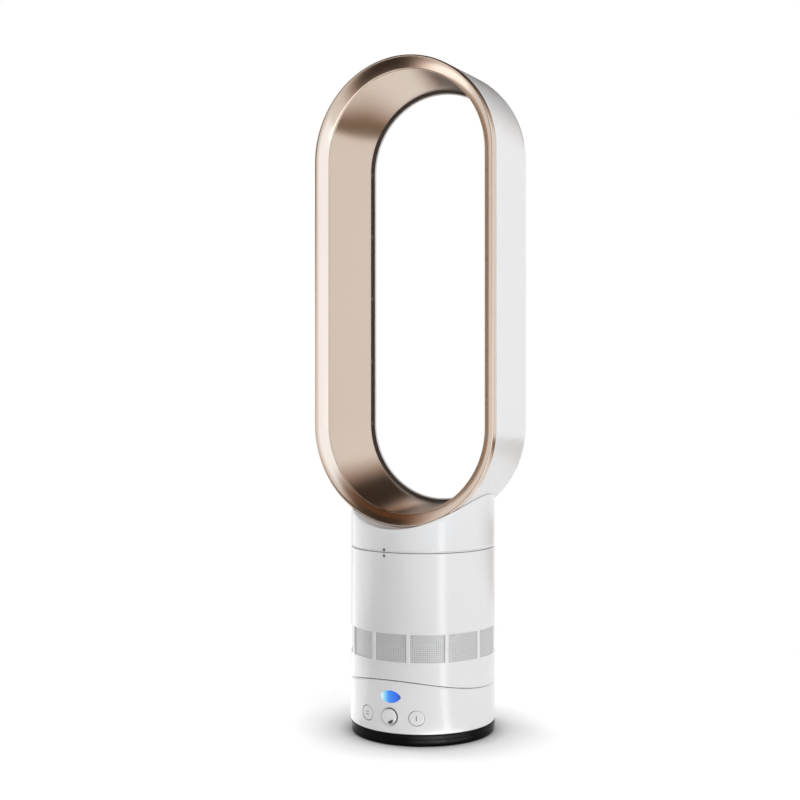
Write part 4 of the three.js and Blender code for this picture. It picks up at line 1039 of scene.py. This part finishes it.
@dataclass
class Column:
    """The tilting body: a shell with intake windows, and the perforated sheet behind them."""

    palette: Palette
    wall: float = 3.0
    windows: int = 12
    post: float = 5.0
    window_low: float = 99.8
    window_high: float = 132.8
    columns_in_window: int = 14
    rows_below: int = 6
    levels: Triple = (150.0, 175.0, 200.0)
    bevel: float = 0.8
    bevel_angle: float = 50.0
    bevel_steps: int = 3
    tilt_axis: float = 346.0
    rocker_radius: float = 282.6
    hole_pitch: float = 2.2
    hole_radius: float = 0.53
    sheet: float = 0.8
    sheet_inset: float = 1.1
    sheet_overlap: float = 1.6
    dot_height: float = 225.4

    def __post_init__(self) -> None:
        """Takes the shell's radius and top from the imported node."""
        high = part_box("body_shell")[1]
        self.radius = high[0] / MM
        self.top = high[2] / MM
        self.middle = 0.5 * (self.window_low + self.window_high)
        self.open_angle = 2 * math.pi / self.windows - self.post / self.radius

    def underside(self, y: float) -> float:
        """Height of the shell's lower edge."""
        return self.tilt_axis - math.sqrt(self.rocker_radius ** 2 - y ** 2)

    def column_angles(self) -> tuple[list[float], list[bool]]:
        """Angles of the grid's columns, and whether the strip after each lies in a window."""
        spots, opened = [], []
        for i in range(self.windows):
            middle = 2 * math.pi * i / self.windows
            spots += [middle - self.open_angle / 2 + self.open_angle * j / self.columns_in_window
                      for j in range(self.columns_in_window)]
            spots += [middle + self.open_angle / 2, middle + math.pi / self.windows]
            opened += [True] * self.columns_in_window + [False, False]
        return spots, opened

    def shell(self) -> Piece:
        """The windowed shell, as one grid of quads with two skins."""
        spots, opened = self.column_angles()
        lower = self.rows_below
        levels = (self.window_low, self.middle, self.window_high, *self.levels, self.top)

        def skin_rows(radius: float) -> list[Row]:
            low = levels[0]
            rows = [ring(radius, lambda x, y: self.underside(y) * (1 - share) + low * share, spots)
                    for share in (i / lower for i in range(lower))]
            return rows + [ring(radius, z, spots) for z in levels]

        outer, inner = skin_rows(self.radius), skin_rows(self.radius - self.wall)
        count, across = len(outer), len(spots)
        rows = outer + inner[::-1]
        faces = []
        for number, quad in enumerate(grid_faces(len(rows), across)):
            row, column = divmod(number, across)
            level = row if row < count else 2 * count - 2 - row
            between_skins = row in (count - 1, 2 * count - 1)
            if between_skins or level not in (lower, lower + 1) or not opened[column]:
                faces.append(quad)
        faces += self.window_edges(opened, count)
        return new_object("tower_shell", flatten(rows), faces)

    def window_edges(self, opened: Sequence[bool], count: int) -> Faces:
        """Makes the faces through the wall round each window.

        Args:
            opened: Whether the strip after each column lies in a window.
            count: Rows in one skin.

        Returns:
            The quads.
        """
        across, first = len(opened), self.rows_below

        def through(start: Sequence[int], end: Sequence[int]) -> tuple[int, ...]:
            outside = [row * across + column % across for row, column in (start, end)]
            inside = [(2 * count - 1 - row) * across + column % across for row, column in (end, start)]
            return (*outside, *inside)

        faces = []
        for column in range(across):
            if opened[column]:
                faces += [through((row, column), (row, column + 1)) for row in (first, first + 2)]
            if opened[column] != opened[column - 1]:
                faces += [through((row, column), (row + 1, column)) for row in (first, first + 1)]
        return faces

    def hole_cell(self) -> Piece:
        """One cell of the sheet: a square plate with a round hole."""
        half = self.hole_pitch / 2
        square = [(-half, -half), (0, -half), (half, -half), (half, 0), (half, half), (0, half),
                  (-half, half), (-half, 0)]
        hole = [(self.hole_radius * x / math.hypot(x, z), self.hole_radius * z / math.hypot(x, z))
                for x, z in square]
        rows = [[(x, y, z) for x, z in outline]
                for y, outline in ((0.0, square), (0.0, hole), (self.sheet, hole), (self.sheet, square))]
        mesh = plain_mesh("hole_cell", flatten(rows), grid_faces(len(rows), len(square), wrap_rows=False))
        return bpy.data.objects.new("hole_cell", mesh)

    def perforated_sheet(self) -> Piece:
        """The perforated sheets behind the windows, laid flat by a node tree and bent to the tower."""
        sheet_radius = (self.radius - self.wall + self.sheet_inset) * MM
        width = self.open_angle * sheet_radius + self.sheet_overlap * MM
        height = (self.window_high - self.window_low + self.sheet_overlap) * MM
        shape = NodeShape("perforated_sheet")
        radius = shape.size("Radius", sheet_radius)
        pitch = shape.size("Pitch", self.hole_pitch * MM)
        columns = shape.size("Columns", round(width / (self.hole_pitch * MM)), "Int")
        rows = shape.size("Rows", round(height / (self.hole_pitch * MM)), "Int")
        panels = shape.size("Panels", self.windows, "Int")
        middle = shape.size("Middle Height", self.middle * MM)
        cell = shape.size("Cell", self.hole_cell(), "Object")
        sizes = [shape.calc("MULTIPLY", pitch, shape.calc("SUBTRACT", count, 1.0))
                 for count in (columns, rows)]
        grid = shape.add("GeometryNodeMeshGrid", {"Vertices X": columns, "Vertices Y": rows,
                                                  "Size X": sizes[0], "Size Y": sizes[1]})
        upright = shape.add("GeometryNodeTransform", {"Geometry": grid,
                                                      "Rotation": (math.pi / 2, 0.0, 0.0)})
        cells = shape.copies(upright, shape.object(cell))
        panel = shape.add("GeometryNodeRealizeInstances", {"Geometry": cells})
        arc_step = shape.calc("DIVIDE", shape.calc("MULTIPLY", radius, 2 * math.pi), panels)
        line = shape.line(panels, shape.vector(x=arc_step))

        def bend(flat: Socket) -> Socket:
            place = shape.add("GeometryNodeInputPosition")
            part = shape.add("ShaderNodeSeparateXYZ", {"Vector": place}).node.outputs
            angle = shape.calc("DIVIDE", part["X"], radius)
            reach = shape.calc("SUBTRACT", radius, part["Y"])
            x = shape.calc("MULTIPLY", reach, shape.calc("SINE", angle))
            y = shape.calc("MULTIPLY", reach, shape.calc("MULTIPLY", shape.calc("COSINE", angle), -1.0))
            spot = shape.vector(x=x, y=y, z=shape.calc("ADD", part["Z"], middle))
            return shape.add("GeometryNodeSetPosition", {"Geometry": flat, "Position": spot})

        return shape.run("perforated_sheets", shape.copies(line, panel), self.palette[Slot.GRILLE], bend)

    def build(self) -> None:
        """Builds and dresses the column."""
        shell = self.shell()
        edge = shell.modifiers.new("edges", "BEVEL")
        edge.width = self.bevel * MM
        edge.segments = self.bevel_steps
        edge.limit_method = "ANGLE"
        edge.angle_limit = math.radians(self.bevel_angle)
        apply_modifiers(shell)
        follow_cylinder(shell, self.radius)
        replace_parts(dress(shell, Body.COLUMN, Slot.WHITE, self.palette.white), "body_shell")
        sheets = self.perforated_sheet()
        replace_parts(dress(sheets, Body.COLUMN, Slot.GRILLE, self.palette[Slot.GRILLE]), "intake_grille")
        dot = Mark("body_dot", self.radius, self.dot_height).build()
        dress(dot, Body.COLUMN, Slot.DARK, self.palette.mark)


@dataclass
class ControlBase:
    """The swivelling base: housing with its cradle, display, knob and two push buttons."""

    palette: Palette
    wall: float = 3.0
    chamfer: float = 0.8
    wall_top: float = 2.2
    tilt_axis: float = 346.0
    cradle_radius: float = 283.4
    cradle_edge: Outline = ((0.05, 2.0), (0.2, 1.7), (0.5, 1.3), (0.9, 0.95), (1.2, 0.6), (1.25, 0.0))
    cradle_shares: Sequence[float] = (0.9, 0.75, 0.6, 0.45, 0.3, 0.15, 0.02)
    ledge: Point = (18.8, 21.8)
    controls_z: float = 34.1
    button_x: float = 33.0
    button_radius: float = 8.7
    button_gap: float = 0.65
    cap_sides: int = 64
    rim_levels: Outline = ((0.9, 0.03), (0.95, 0.2), (0.985, 0.55), (1.0, 1.1))
    knob_radius: float = 9.2
    knob_rings: int = 26
    knob_sides: int = 96
    knob_rises: Triple = (3.0, 1.0, 1.2)
    knob_skirt: float = 1.5
    stem_radius: float = 3.0
    seat_radius: float = 11.8
    seat_depth: Point = (0.5, 2.3)
    seat_reach: float = 2.0
    pointer_azimuth: float = 150.0
    pointer_radius: float = 6.3
    pointer_half: Point = (4.6, 2.1)
    pointer_depth: float = 1.3
    # painted shade: the scoop's colour darkens with its depth, standing in for shade in the recess
    pointer_shade: float = 2.2
    display_x: float = 1.4
    display_z: float = 58.1
    display_half: Point = (13.2, 7.2)
    display_taper: float = 0.3
    display_gap: float = 0.3
    display_depth: float = 4.5
    display_crown: float = 0.25
    display_rings: int = 12
    slot_x: float = 45.0
    slot_half: Point = (3.0, 56.3)
    cable_half: Point = (11.0, 22.0)
    slot_heights: Point = (40.0, 90.0)
    cut_reach: float = 5.0
    cut_rear: float = -70.0
    mark_depths: Point = (0.04, -0.25)
    steps: int = 200

    def __post_init__(self) -> None:
        """Takes the housing's radius and foot, and the reach of knob and buttons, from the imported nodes."""
        low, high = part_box("control_housing")
        self.radius = high[0] / MM
        self.bottom = low[2] / MM
        self.knob_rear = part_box("knob")[1][1] / MM
        self.button_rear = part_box("power_button")[1][1] / MM

    def cradle(self, y: float, extra: float = 0.0) -> float:
        """Height of the cradle, or of a surface that much below it."""
        return self.tilt_axis - math.sqrt((self.cradle_radius + extra) ** 2 - y ** 2)

    def housing(self) -> Piece:
        """The housing before its openings: wall, cradle and ledge, as closed rows of points."""
        r, inner, around = self.radius, self.radius - self.wall, angles(self.steps)
        low, wall_steps = self.bottom + self.chamfer, 8

        def crown(radius: float, drop: float, extra: float = 0.0) -> Row:
            return ring(radius, lambda x, y: self.cradle(y, extra) - drop, around)

        rows = [ring(r - self.chamfer, self.bottom, around)]
        rows += [ring(r, lambda x, y: mix(low, self.cradle(y) - self.wall_top, i / wall_steps), around)
                 for i in range(wall_steps + 1)]
        rows += [crown(r - inset, drop) for inset, drop in self.cradle_edge]
        rows += [crown(r * share, 0.0) for share in self.cradle_shares]
        rows += [crown(r * share, 0.0, self.wall) for share in self.cradle_shares[::-1]]
        rows.append(crown(inner, 0.0, self.wall))
        rows += [ring(radius, height, around) for radius, height in (
            (inner, self.ledge[1]), (inner - self.wall, self.ledge[1]), (inner - self.wall, self.ledge[0]),
            (inner, self.ledge[0]), (inner, self.bottom))]
        return skin("base_housing", rows)

    def display_outline(self, growth: float, count: int = 72) -> list[Point]:
        """The display's outline, an oval with its right end drawn to a point.

        Args:
            growth: How much larger it is than the window.
            count: Number of corners.

        Returns:
            Its [x, z] corners.
        """
        outline = []
        for a in angles(count):
            narrowing = 1 - self.display_taper * max(0.0, math.cos(a)) ** 2
            outline.append((self.display_x + (self.display_half[0] + growth) * math.cos(a),
                            self.display_z + (self.display_half[1] + growth) * math.sin(a) * narrowing))
        return outline

    def cutters(self) -> list[Piece]:
        """The shapes of the housing's openings."""
        front, rear = -self.radius - self.cut_reach, self.cut_rear

        def bore(name: str, radius: float, x: float) -> Piece:
            return drum_along_y(name, radius + self.button_gap, x, self.controls_z, front, rear)

        shapes = [bore("knob_bore", self.knob_radius, 0), self.seat_cutter()]
        for side in (-1, 1):
            shapes.append(bore("button_bore", self.button_radius, side * self.button_x))
            shapes.append(self.slot_cutter("runner_slot", side * self.slot_x, self.slot_half))
        shapes.append(prism_along_y("display_hole", self.display_outline(self.display_gap), front, rear))
        shapes.append(self.slot_cutter("cable_slot", 0.0, self.cable_half))
        return shapes

    def slot_cutter(self, name: str, x: float, half: Point) -> Piece:
        """The shape of a slot through the cradle, by its middle and its half sizes."""
        low, high = self.slot_heights
        return block(name, (x - half[0], -half[1], low), (x + half[0], half[1], high))

    def seat_cutter(self) -> Piece:
        """The shape of the dished seat round the knob."""
        shallow, deep = self.seat_depth
        slope = (self.seat_radius - self.knob_radius - self.button_gap) / (deep - shallow)
        reach = self.seat_reach
        front, rear = shallow - reach - self.radius, deep - self.radius
        return drum_along_y("knob_seat", self.seat_radius + reach * slope, 0, self.controls_z, front, rear,
                            (reach + deep - shallow) * slope)

    def face_y(self, x: float) -> float:
        """Y of the housing's front face at a place across it."""
        return -math.sqrt(self.radius ** 2 - x ** 2)

    def follow_front(self, name: str, outline: Outline, rear: float, crown: float,
                     rings: int = 7) -> Piece:
        """A plug whose face follows the housing, with a rounded rim.

        Args:
            name: The piece's name.
            outline: [x, z] corners of the plug.
            rear: Y of its flat rear face.
            crown: How far the middle of the face stands out.
            rings: Rings of points over the face.

        Returns:
            The piece.
        """
        middle_x = sum(x for x, _ in outline) / len(outline)
        middle_z = sum(z for _, z in outline) / len(outline)
        smallest = 0.001
        levels = [(smallest + (1 - smallest) * i / rings, 0.0) for i in range(rings)]
        rows = []
        for share, drop in (*levels, *self.rim_levels):
            spots = [(mix(middle_x, x, share), mix(middle_z, z, share)) for x, z in outline]
            rows.append([(x, self.face_y(x) - crown * (1 - share ** 2) + drop, z) for x, z in spots])
        piece = plug(name, [*rows, [(x, rear, z) for x, z in outline]])
        smooth(piece, 40)
        return piece

    def knob(self) -> Piece:
        """The knob: a shallow dome with a scooped pointer near its rim."""
        rings, around, smallest = self.knob_rings, angles(self.knob_sides), 0.0005
        pointer = math.radians(90 - self.pointer_azimuth)
        rise, fall, rim = self.knob_rises
        rows, paint = [], []
        for i in range(rings):
            r = min(self.knob_radius * (smallest + i / (rings - 1)), self.knob_radius)
            top = rim if i == rings - 1 else rise - fall * (r / self.knob_radius) ** 4
            row = []
            for a in around:
                along = self.pointer_radius * math.remainder(a - pointer, 2 * math.pi)
                share = max(0.0, 1 - (along / self.pointer_half[0]) ** 2
                            - ((r - self.pointer_radius) / self.pointer_half[1]) ** 2)
                row.append((r * math.cos(a), self.pointer_depth * share - self.radius - top,
                            self.controls_z + r * math.sin(a)))
                # painted shade in the scoop, darkest where it is deepest
                paint.append(min(1.0, self.pointer_shade * share))
            rows.append(row)
        rear, stem = -self.radius + self.knob_skirt, self.stem_radius
        for r, y in ((self.knob_radius, rear), (stem, rear), (stem, self.knob_rear)):
            rows.append([(r * math.cos(a), y, self.controls_z + r * math.sin(a)) for a in around])
            paint += [0.0] * len(around)
        piece = plug("knob_dome", rows, paint)
        smooth(piece, 50)
        return piece

    def symbols(self) -> None:
        """The plain symbols on the two buttons: a bar, and two short strokes."""
        bar = rounded([(-0.55, -3.2), (0.55, -3.2), (0.55, 3.2), (-0.55, 3.2)], [0.5] * 4)
        stroke = rounded([(-2.6, -0.45), (2.2, -0.45), (2.2, 0.45), (-2.6, 0.45)], [0.4] * 4)
        for name, outline, body, x, rise in (
                ("power_symbol", bar, Body.POWER_BUTTON, self.button_x, 0.0),
                ("swing_symbol_upper", stroke, Body.SWING_BUTTON, -self.button_x, 1.6),
                ("swing_symbol_lower", stroke, Body.SWING_BUTTON, -self.button_x, -1.6)):
            rows = [[(x + across, self.face_y(x + across) - proud, self.controls_z + rise + up)
                     for across, up in outline] for proud in self.mark_depths]
            dress(plug(name, rows), body, Slot.DARK, self.palette.mark)

    def build(self) -> None:
        """Builds and dresses the control base."""
        palette = self.palette
        housing = self.housing()
        cut_away(housing, self.cutters())
        follow_cylinder(housing, self.radius)
        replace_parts(dress(housing, Body.BASE, Slot.WHITE, palette.white), "control_housing")
        lens = self.follow_front("display_window", self.display_outline(0.0),
                                 self.display_depth - self.radius, self.display_crown, self.display_rings)
        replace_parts(dress(lens, Body.BASE, Slot.LENS, palette[Slot.LENS]), "display_lens")
        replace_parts(dress(self.knob(), Body.KNOB, Slot.WHITE, palette.pointer), "knob")
        for side, body in ((-1, Body.SWING_BUTTON), (1, Body.POWER_BUTTON)):
            outline = [(side * self.button_x + self.button_radius * math.cos(a),
                        self.controls_z + self.button_radius * math.sin(a)) for a in angles(self.cap_sides)]
            cap = self.follow_front(f"{body.value}_cap", outline, self.button_rear, 0.0)
            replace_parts(dress(cap, body, Slot.WHITE, palette.white), body.value)
        self.symbols()


@dataclass
class Foot:
    """The black foot, with the screws under it."""

    palette: Palette
    steps: int = 200
    bore: float = 9.0
    pad_seat: float = 2.9
    skirt: float = 84.0
    floor: float = 5.0
    band: float = 0.9
    band_edge: Point = (8.2, 8.9)
    toe: Point = (0.6, 2.0)
    corner_radii: Sequence[float] = (0, 0, 0.3, 1.2, 1.0, 0.3, 0.4, 0.6, 0.4, 0.3, 0)
    wall: float = 3.6
    screw_circle: float = 40.0
    screws: int = 4
    screw_steps: int = 24
    screw_sink: float = 0.05
    gland_z: float = 7.6
    gland_radius: float = 4.8

    def __post_init__(self) -> None:
        """Takes the foot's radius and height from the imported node."""
        low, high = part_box("foot_base")
        self.radius = high[0] / MM
        self.top = high[2] / MM
        self.bottom = low[2] / MM

    def base(self) -> Piece:
        """The moulded foot, with rounded edges and a step below its upper band."""
        r, low, inner = self.radius, self.radius - self.band, self.radius - self.wall
        corners = [(self.bore, self.pad_seat), (self.skirt, self.pad_seat), (self.skirt, self.bottom),
                   (low - self.toe[0], self.bottom), (low, self.bottom + self.toe[1]),
                   (low, self.band_edge[0]), (r, self.band_edge[1]), (r, self.top),
                   (inner, self.top), (inner, self.floor), (self.bore, self.floor)]
        around = angles(self.steps)
        piece = skin("foot_moulding", [ring(x, z, around) for x, z in rounded(corners, self.corner_radii)])
        cut_away(piece, [drum_along_y("gland_hole", self.gland_radius, 0, self.gland_z, r - 8, r + 8)])
        follow_cylinder(piece, r)
        return piece

    def screw_heads(self) -> Piece:
        """The screws in the foot's underside, set round a circle by a node tree."""
        shape = NodeShape("screw_circle")
        count = shape.size("Count", self.screws, "Int")
        circle = shape.size("Circle Radius", self.screw_circle * MM)
        height = shape.size("Height", (self.pad_seat - self.screw_sink) * MM)
        head = shape.size("Screw", self.screw_head(), "Object")
        points = shape.add("GeometryNodeMeshCircle", {"Vertices": count, "Radius": circle})
        lifted = shape.add("GeometryNodeTransform", {"Geometry": points,
                                                     "Translation": shape.vector(z=height)})
        copies = shape.copies(lifted, shape.object(head))
        return shape.run("foot_screws", copies, self.palette[Slot.STEEL])

    def screw_head(self) -> Piece:
        """One pan head with a hexagon recess, facing down."""
        profile = [(0.9, 0.0), (1.3, -0.9), (2.9, -0.9), (3.5, -0.5), (3.6, 0.4), (0.9, 0.4)]
        recess, sixth = (0, 1, 5), math.pi / 3
        rows = []
        for i, (r, z) in enumerate(profile):
            reaches = [r * (math.cos(sixth / 2) / math.cos(a % sixth - sixth / 2) if i in recess else 1.0)
                       for a in angles(self.screw_steps)]
            rows.append([(reach * math.cos(a), reach * math.sin(a), z)
                         for reach, a in zip(reaches, angles(self.screw_steps))])
        mesh = plain_mesh("screw_head", flatten(rows), grid_faces(len(profile), self.screw_steps))
        return bpy.data.objects.new("screw_head", mesh)

    def build(self) -> None:
        """Builds and dresses the foot."""
        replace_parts(dress(self.base(), Body.FOOT, Slot.BLACK, self.palette[Slot.BLACK]), "foot_base")
        dress(self.screw_heads(), Body.FOOT, Slot.STEEL, self.palette[Slot.STEEL])


# ---------------------------------------------------------------- studio


def square(half_x: float, half_y: float) -> Row:
    """The corners of a flat rectangle about the origin."""
    return [(x * half_x, y * half_y, 0.0) for x, y in ((-1, -1), (1, -1), (1, 1), (-1, 1))]


def stage_sheet(name: str, mesh: Mesh, material: Material) -> Piece:
    """Puts a thin sheet in the scene that only shiny surfaces see.

    Args:
        name: The sheet's name.
        mesh: Its mesh.
        material: Its material.

    Returns:
        The linked object, still unturned at the origin.
    """
    mesh.materials.append(material)
    sheet = linked(bpy.data.objects.new(name, mesh))
    for ray in ("camera", "diffuse", "shadow", "transmission"):
        setattr(sheet, f"visible_{ray}", False)
    return sheet


def bare_material(name: str) -> tuple[Material, Wiring]:
    """A material without nodes, and its wiring."""
    material = bpy.data.materials.new(name)
    material.use_nodes = True
    material.node_tree.nodes.clear()
    return material, Wiring(material.node_tree)


def light_material(name: str, tint: Triple, power: Callable[[Wiring], Socket]) -> Material:
    """Makes a clear material that adds a light to what is seen through it.

    Args:
        name: The material's name.
        tint: The light's colour.
        power: What gives its strength in the material's wiring.

    Returns:
        The material.
    """
    material, wires = bare_material(name)
    light = wires.add("ShaderNodeEmission", {"Color": tint, "Strength": power(wires)})
    both = wires.add("ShaderNodeAddShader", {0: light, 1: wires.add("ShaderNodeBsdfTransparent")})
    wires.end("ShaderNodeOutputMaterial", "Surface", both)
    return material


@dataclass(frozen=True)
class Panel:
    """A dark studio panel that only shiny surfaces see, soft towards its edges. Sizes in metres."""

    name: str
    place: Triple
    turn: Triple
    core: Point
    fade: Point
    heart: Triple = (0.045, 0.03, 0.02)
    border: Triple = (0.3, 0.12, 0.035)
    border_start: float = 0.4

    def build(self) -> None:
        """Builds the panel."""
        corners = square(self.core[0] + self.fade[0], self.core[1] + self.fade[1])
        mesh = plain_mesh(self.name, corners, [(0, 1, 2, 3)], 1.0)
        sheet = stage_sheet(self.name, mesh, self.material())
        sheet.location = self.place
        sheet.rotation_euler = [math.radians(angle) for angle in self.turn]

    def softness(self, wires: Wiring) -> Socket:
        """A value that is 0 in the panel's core and 1 at its edges."""
        parts = wires.add("ShaderNodeSeparateXYZ", {"Vector": wires.place()}).node.outputs
        return wires.calc("MAXIMUM", *(
            wires.smooth_step(wires.calc("ABSOLUTE", parts[axis]), core, core + fade)
            for axis, core, fade in zip("XY", self.core, self.fade)))

    def material(self) -> Material:
        """Makes the panel's material: dark in its core, a warm shade further out, clear at its edges."""
        material, wires = bare_material(self.name)
        edge = self.softness(wires)
        shade = wires.ramp(edge, ((0.0, self.heart), (self.border_start, self.border)))
        dark = wires.add("ShaderNodeEmission", {"Color": shade})
        clear = wires.add("ShaderNodeBsdfTransparent")
        both = wires.add("ShaderNodeMixShader", {"Fac": edge, 1: dark, 2: clear})
        wires.end("ShaderNodeOutputMaterial", "Surface", both)
        return material


@dataclass(frozen=True)
class Glow(Panel):
    """A panel that adds a cool light to what shiny surfaces see through it."""

    strength: float = 1.0
    tint: Triple = (0.4, 0.56, 0.72)

    def material(self) -> Material:
        """Makes the panel's material: a light that fades out towards its edges."""
        return light_material(self.name, self.tint, lambda wires: wires.calc(
            "MULTIPLY", wires.calc("SUBTRACT", 1.0, self.softness(wires)), self.strength))


@dataclass(frozen=True)
class Sheen:
    """A wedge of bright floor that only shiny surfaces see. Angles in degrees from +X, sizes in metres."""

    name: str
    start: float
    end: float
    strength: float
    fade: float = 6.0
    near: float = 0.1
    far: float = 3.4
    height: float = 0.001
    steps: int = 24

    def build(self) -> None:
        """Builds the wedge, with a soft side along each of its straight edges."""
        turns = [self.start + (self.end - self.start) * i / self.steps for i in range(self.steps + 1)]
        points = [(reach * math.cos(math.radians(turn)), reach * math.sin(math.radians(turn)), self.height)
                  for reach in (self.near, self.far) for turn in turns]
        glow = [min(1.0, min(turn - self.start, self.end - turn) / self.fade) for turn in turns] * 2
        row = len(turns)
        faces = [(i, i + 1, row + i + 1, row + i) for i in range(self.steps)]
        mesh = plain_mesh(self.name, points, faces, 1.0)
        mesh.attributes.new("glow", "FLOAT", "POINT").data.foreach_set("value", glow)
        stage_sheet(self.name, mesh, light_material(self.name, WHITE, self.power))

    def power(self, wires: Wiring) -> Socket:
        """The light's strength, as its attribute shares it out."""
        glow = wires.add("ShaderNodeAttribute", out="Fac", attribute_name="glow")
        return wires.calc("MULTIPLY", glow, self.strength)


@dataclass(frozen=True)
class Lamp:
    """A soft rectangular light that no surface mirrors. Sizes in metres, power in watts."""

    name: str
    place: Triple
    size: Point
    power: float
    target: Triple = (0.0, 0.0, 0.45)

    def build(self) -> None:
        """Builds the light."""
        data = bpy.data.lights.new(self.name, "AREA")
        data.shape = "RECTANGLE"
        data.size, data.size_y = self.size
        data.energy = self.power
        lamp = linked(bpy.data.objects.new(self.name, data))
        lamp.location = self.place
        lamp.rotation_euler = (Vector(self.target) - Vector(self.place)).to_track_quat("-Z", "Y").to_euler()
        lamp.visible_glossy = False


@dataclass
class Studio:
    """Floor, surround, camera, lamps and the sheets that shiny surfaces see."""

    azimuth: float = 26.58
    distance: float = 1.64817
    eye_height: float = 0.42687
    focal_pixels: float = 1315.748
    axis_pixel: float = 423.045
    horizon_pixel: float = 387.073
    frame_pixels: float = 800.0
    sensor: float = 36.0
    surround: float = 0.62
    floor_half: float = 14.0
    floor_bounce: float = 0.8
    floor_paint: float = 1.36
    # reach of the occlusion node that paints contact shade on the floor
    painted_shade_reach: float = 0.1
    shadow_reach: Point = (0.3, 0.7)
    tan: Triple = (0.2, 0.135, 0.08)

    def camera(self) -> None:
        """Sets the camera that the photograph was taken with."""
        data = bpy.data.cameras.new("camera")
        data.sensor_width = self.sensor
        data.lens = self.focal_pixels / self.frame_pixels * self.sensor
        data.shift_x = (self.frame_pixels / 2 - self.axis_pixel) / self.frame_pixels
        data.shift_y = (self.horizon_pixel - self.frame_pixels / 2) / self.frame_pixels
        data.dof.use_dof = False
        camera = linked(bpy.data.objects.new("camera", data))
        turn = math.radians(self.azimuth)
        camera.location = (self.distance * math.sin(turn), -self.distance * math.cos(turn), self.eye_height)
        camera.rotation_euler = (math.pi / 2, 0.0, turn)
        bpy.context.scene.camera = camera

    @staticmethod
    def seen(wires: Wiring) -> Socket:
        """A value that is 1 for camera, glossy and transmission rays."""
        ray = wires.add("ShaderNodeLightPath").node.outputs
        seen = wires.calc("MAXIMUM", ray["Is Camera Ray"], ray["Is Glossy Ray"])
        return wires.calc("MAXIMUM", seen, ray["Is Transmission Ray"])

    def world(self) -> None:
        """A white surround for the eye, and a softer one for the light that it gives."""
        world = bpy.data.worlds.new("surround")
        bpy.context.scene.world = world
        world.use_nodes = True
        world.node_tree.nodes.clear()
        wires = Wiring(world.node_tree)
        light = wires.add("ShaderNodeBackground", {"Color": WHITE, "Strength": self.surround})
        white = wires.add("ShaderNodeBackground", {"Color": WHITE})
        both = wires.add("ShaderNodeMixShader", {"Fac": self.seen(wires), 1: light, 2: white})
        wires.end("ShaderNodeOutputWorld", "Surface", both)

    def floor(self) -> None:
        """A pale floor that keeps the fan's shadow, with painted contact shade from an occlusion node near
        the fan, and is plain white further out.
        """
        mesh = plain_mesh("floor", square(self.floor_half, self.floor_half), [(0, 1, 2, 3)], 1.0)
        material, wires = bare_material("pale_floor")
        reach = wires.add("ShaderNodeVectorMath", {0: wires.place()}, out="Value", operation="LENGTH")
        # painted shade: the floor's colour darkens where the fan occludes it
        painted_contact_shade = wires.add("ShaderNodeAmbientOcclusion", {"Color": (self.floor_paint,) * 3,
                                                           "Distance": self.painted_shade_reach})
        near = wires.add("ShaderNodeMixShader", {
            "Fac": wires.smooth_step(reach, *self.shadow_reach),
            1: wires.add("ShaderNodeBsdfDiffuse", {"Color": painted_contact_shade}), 2: wires.add("ShaderNodeEmission")})
        bounce = wires.add("ShaderNodeBsdfDiffuse", {"Color": (self.floor_bounce,) * 3})
        both = wires.add("ShaderNodeMixShader", {"Fac": self.seen(wires), 1: bounce, 2: near})
        wires.end("ShaderNodeOutputMaterial", "Surface", both)
        mesh.materials.append(material)
        linked(bpy.data.objects.new("floor", mesh))

    def build(self) -> None:
        """Sets up the studio."""
        self.camera()
        self.world()
        self.floor()
        for member in (
                Lamp("key_box", (2.1, -0.98, 1.0), (2.6, 1.8), 25.0),
                Lamp("left_edge", (-2.1, 0.42, 0.8), (0.8, 1.6), 13.0),
                Panel("ceiling", (-0.25, 1.2, 1.7), (0.0, 0.0, 0.0), (0.38, 2.2), (1.5, 0.8)),
                Panel("front_ceiling", (-0.8, -1.9, 1.66), (0.0, 0.0, -25.0), (0.4, 1.1), (0.7, 0.6)),
                Panel("front_high", (-0.9, -3.0, 1.85), (90.0, 0.0, -18.0), (0.8, 0.85), (0.55, 0.4)),
                Panel("front_floor", (-0.72, -1.64, 0.02), (0.0, 0.0, -25.0), (0.27, 1.35), (0.6, 0.22)),
                Panel("rear_left", (-0.57, 1.0, 0.74), (90.0, 0.0, 0.0), (0.04, 0.06), (0.16, 0.4)),
                Panel("rear_right", (0.95, 1.7, 0.02), (0.0, 0.0, 0.0), (0.32, 0.32), (0.8, 0.7), self.tan),
                Glow("right_glow", (1.5, -1.3, 1.0), (90.0, 0.0, 49.0), (0.75, 0.8), (0.45, 0.7)),
                Sheen("left_sheen", 146.0, 212.0, 0.8),
                Sheen("right_sheen", -43.0, -27.0, 2.5),
                Sheen("foot_sheen", -80.0, -12.0, 12.0, fade=32.0, near=0.1, far=0.15)):
            member.build()
        bpy.context.scene.view_settings.view_transform = "Standard"


def main() -> None:
    """Builds the studio and every sub-assembly, in order."""
    logging.basicConfig(level=logging.INFO, format="%(name)s: %(message)s")
    Studio().build()
    palette = Palette()
    palette.dress_packed_nodes()
    for assembly in (Foot(palette), ControlBase(palette), Column(palette), Collar(palette), Loop(palette)):
        assembly.build()


if __name__ == "__main__":
    main()
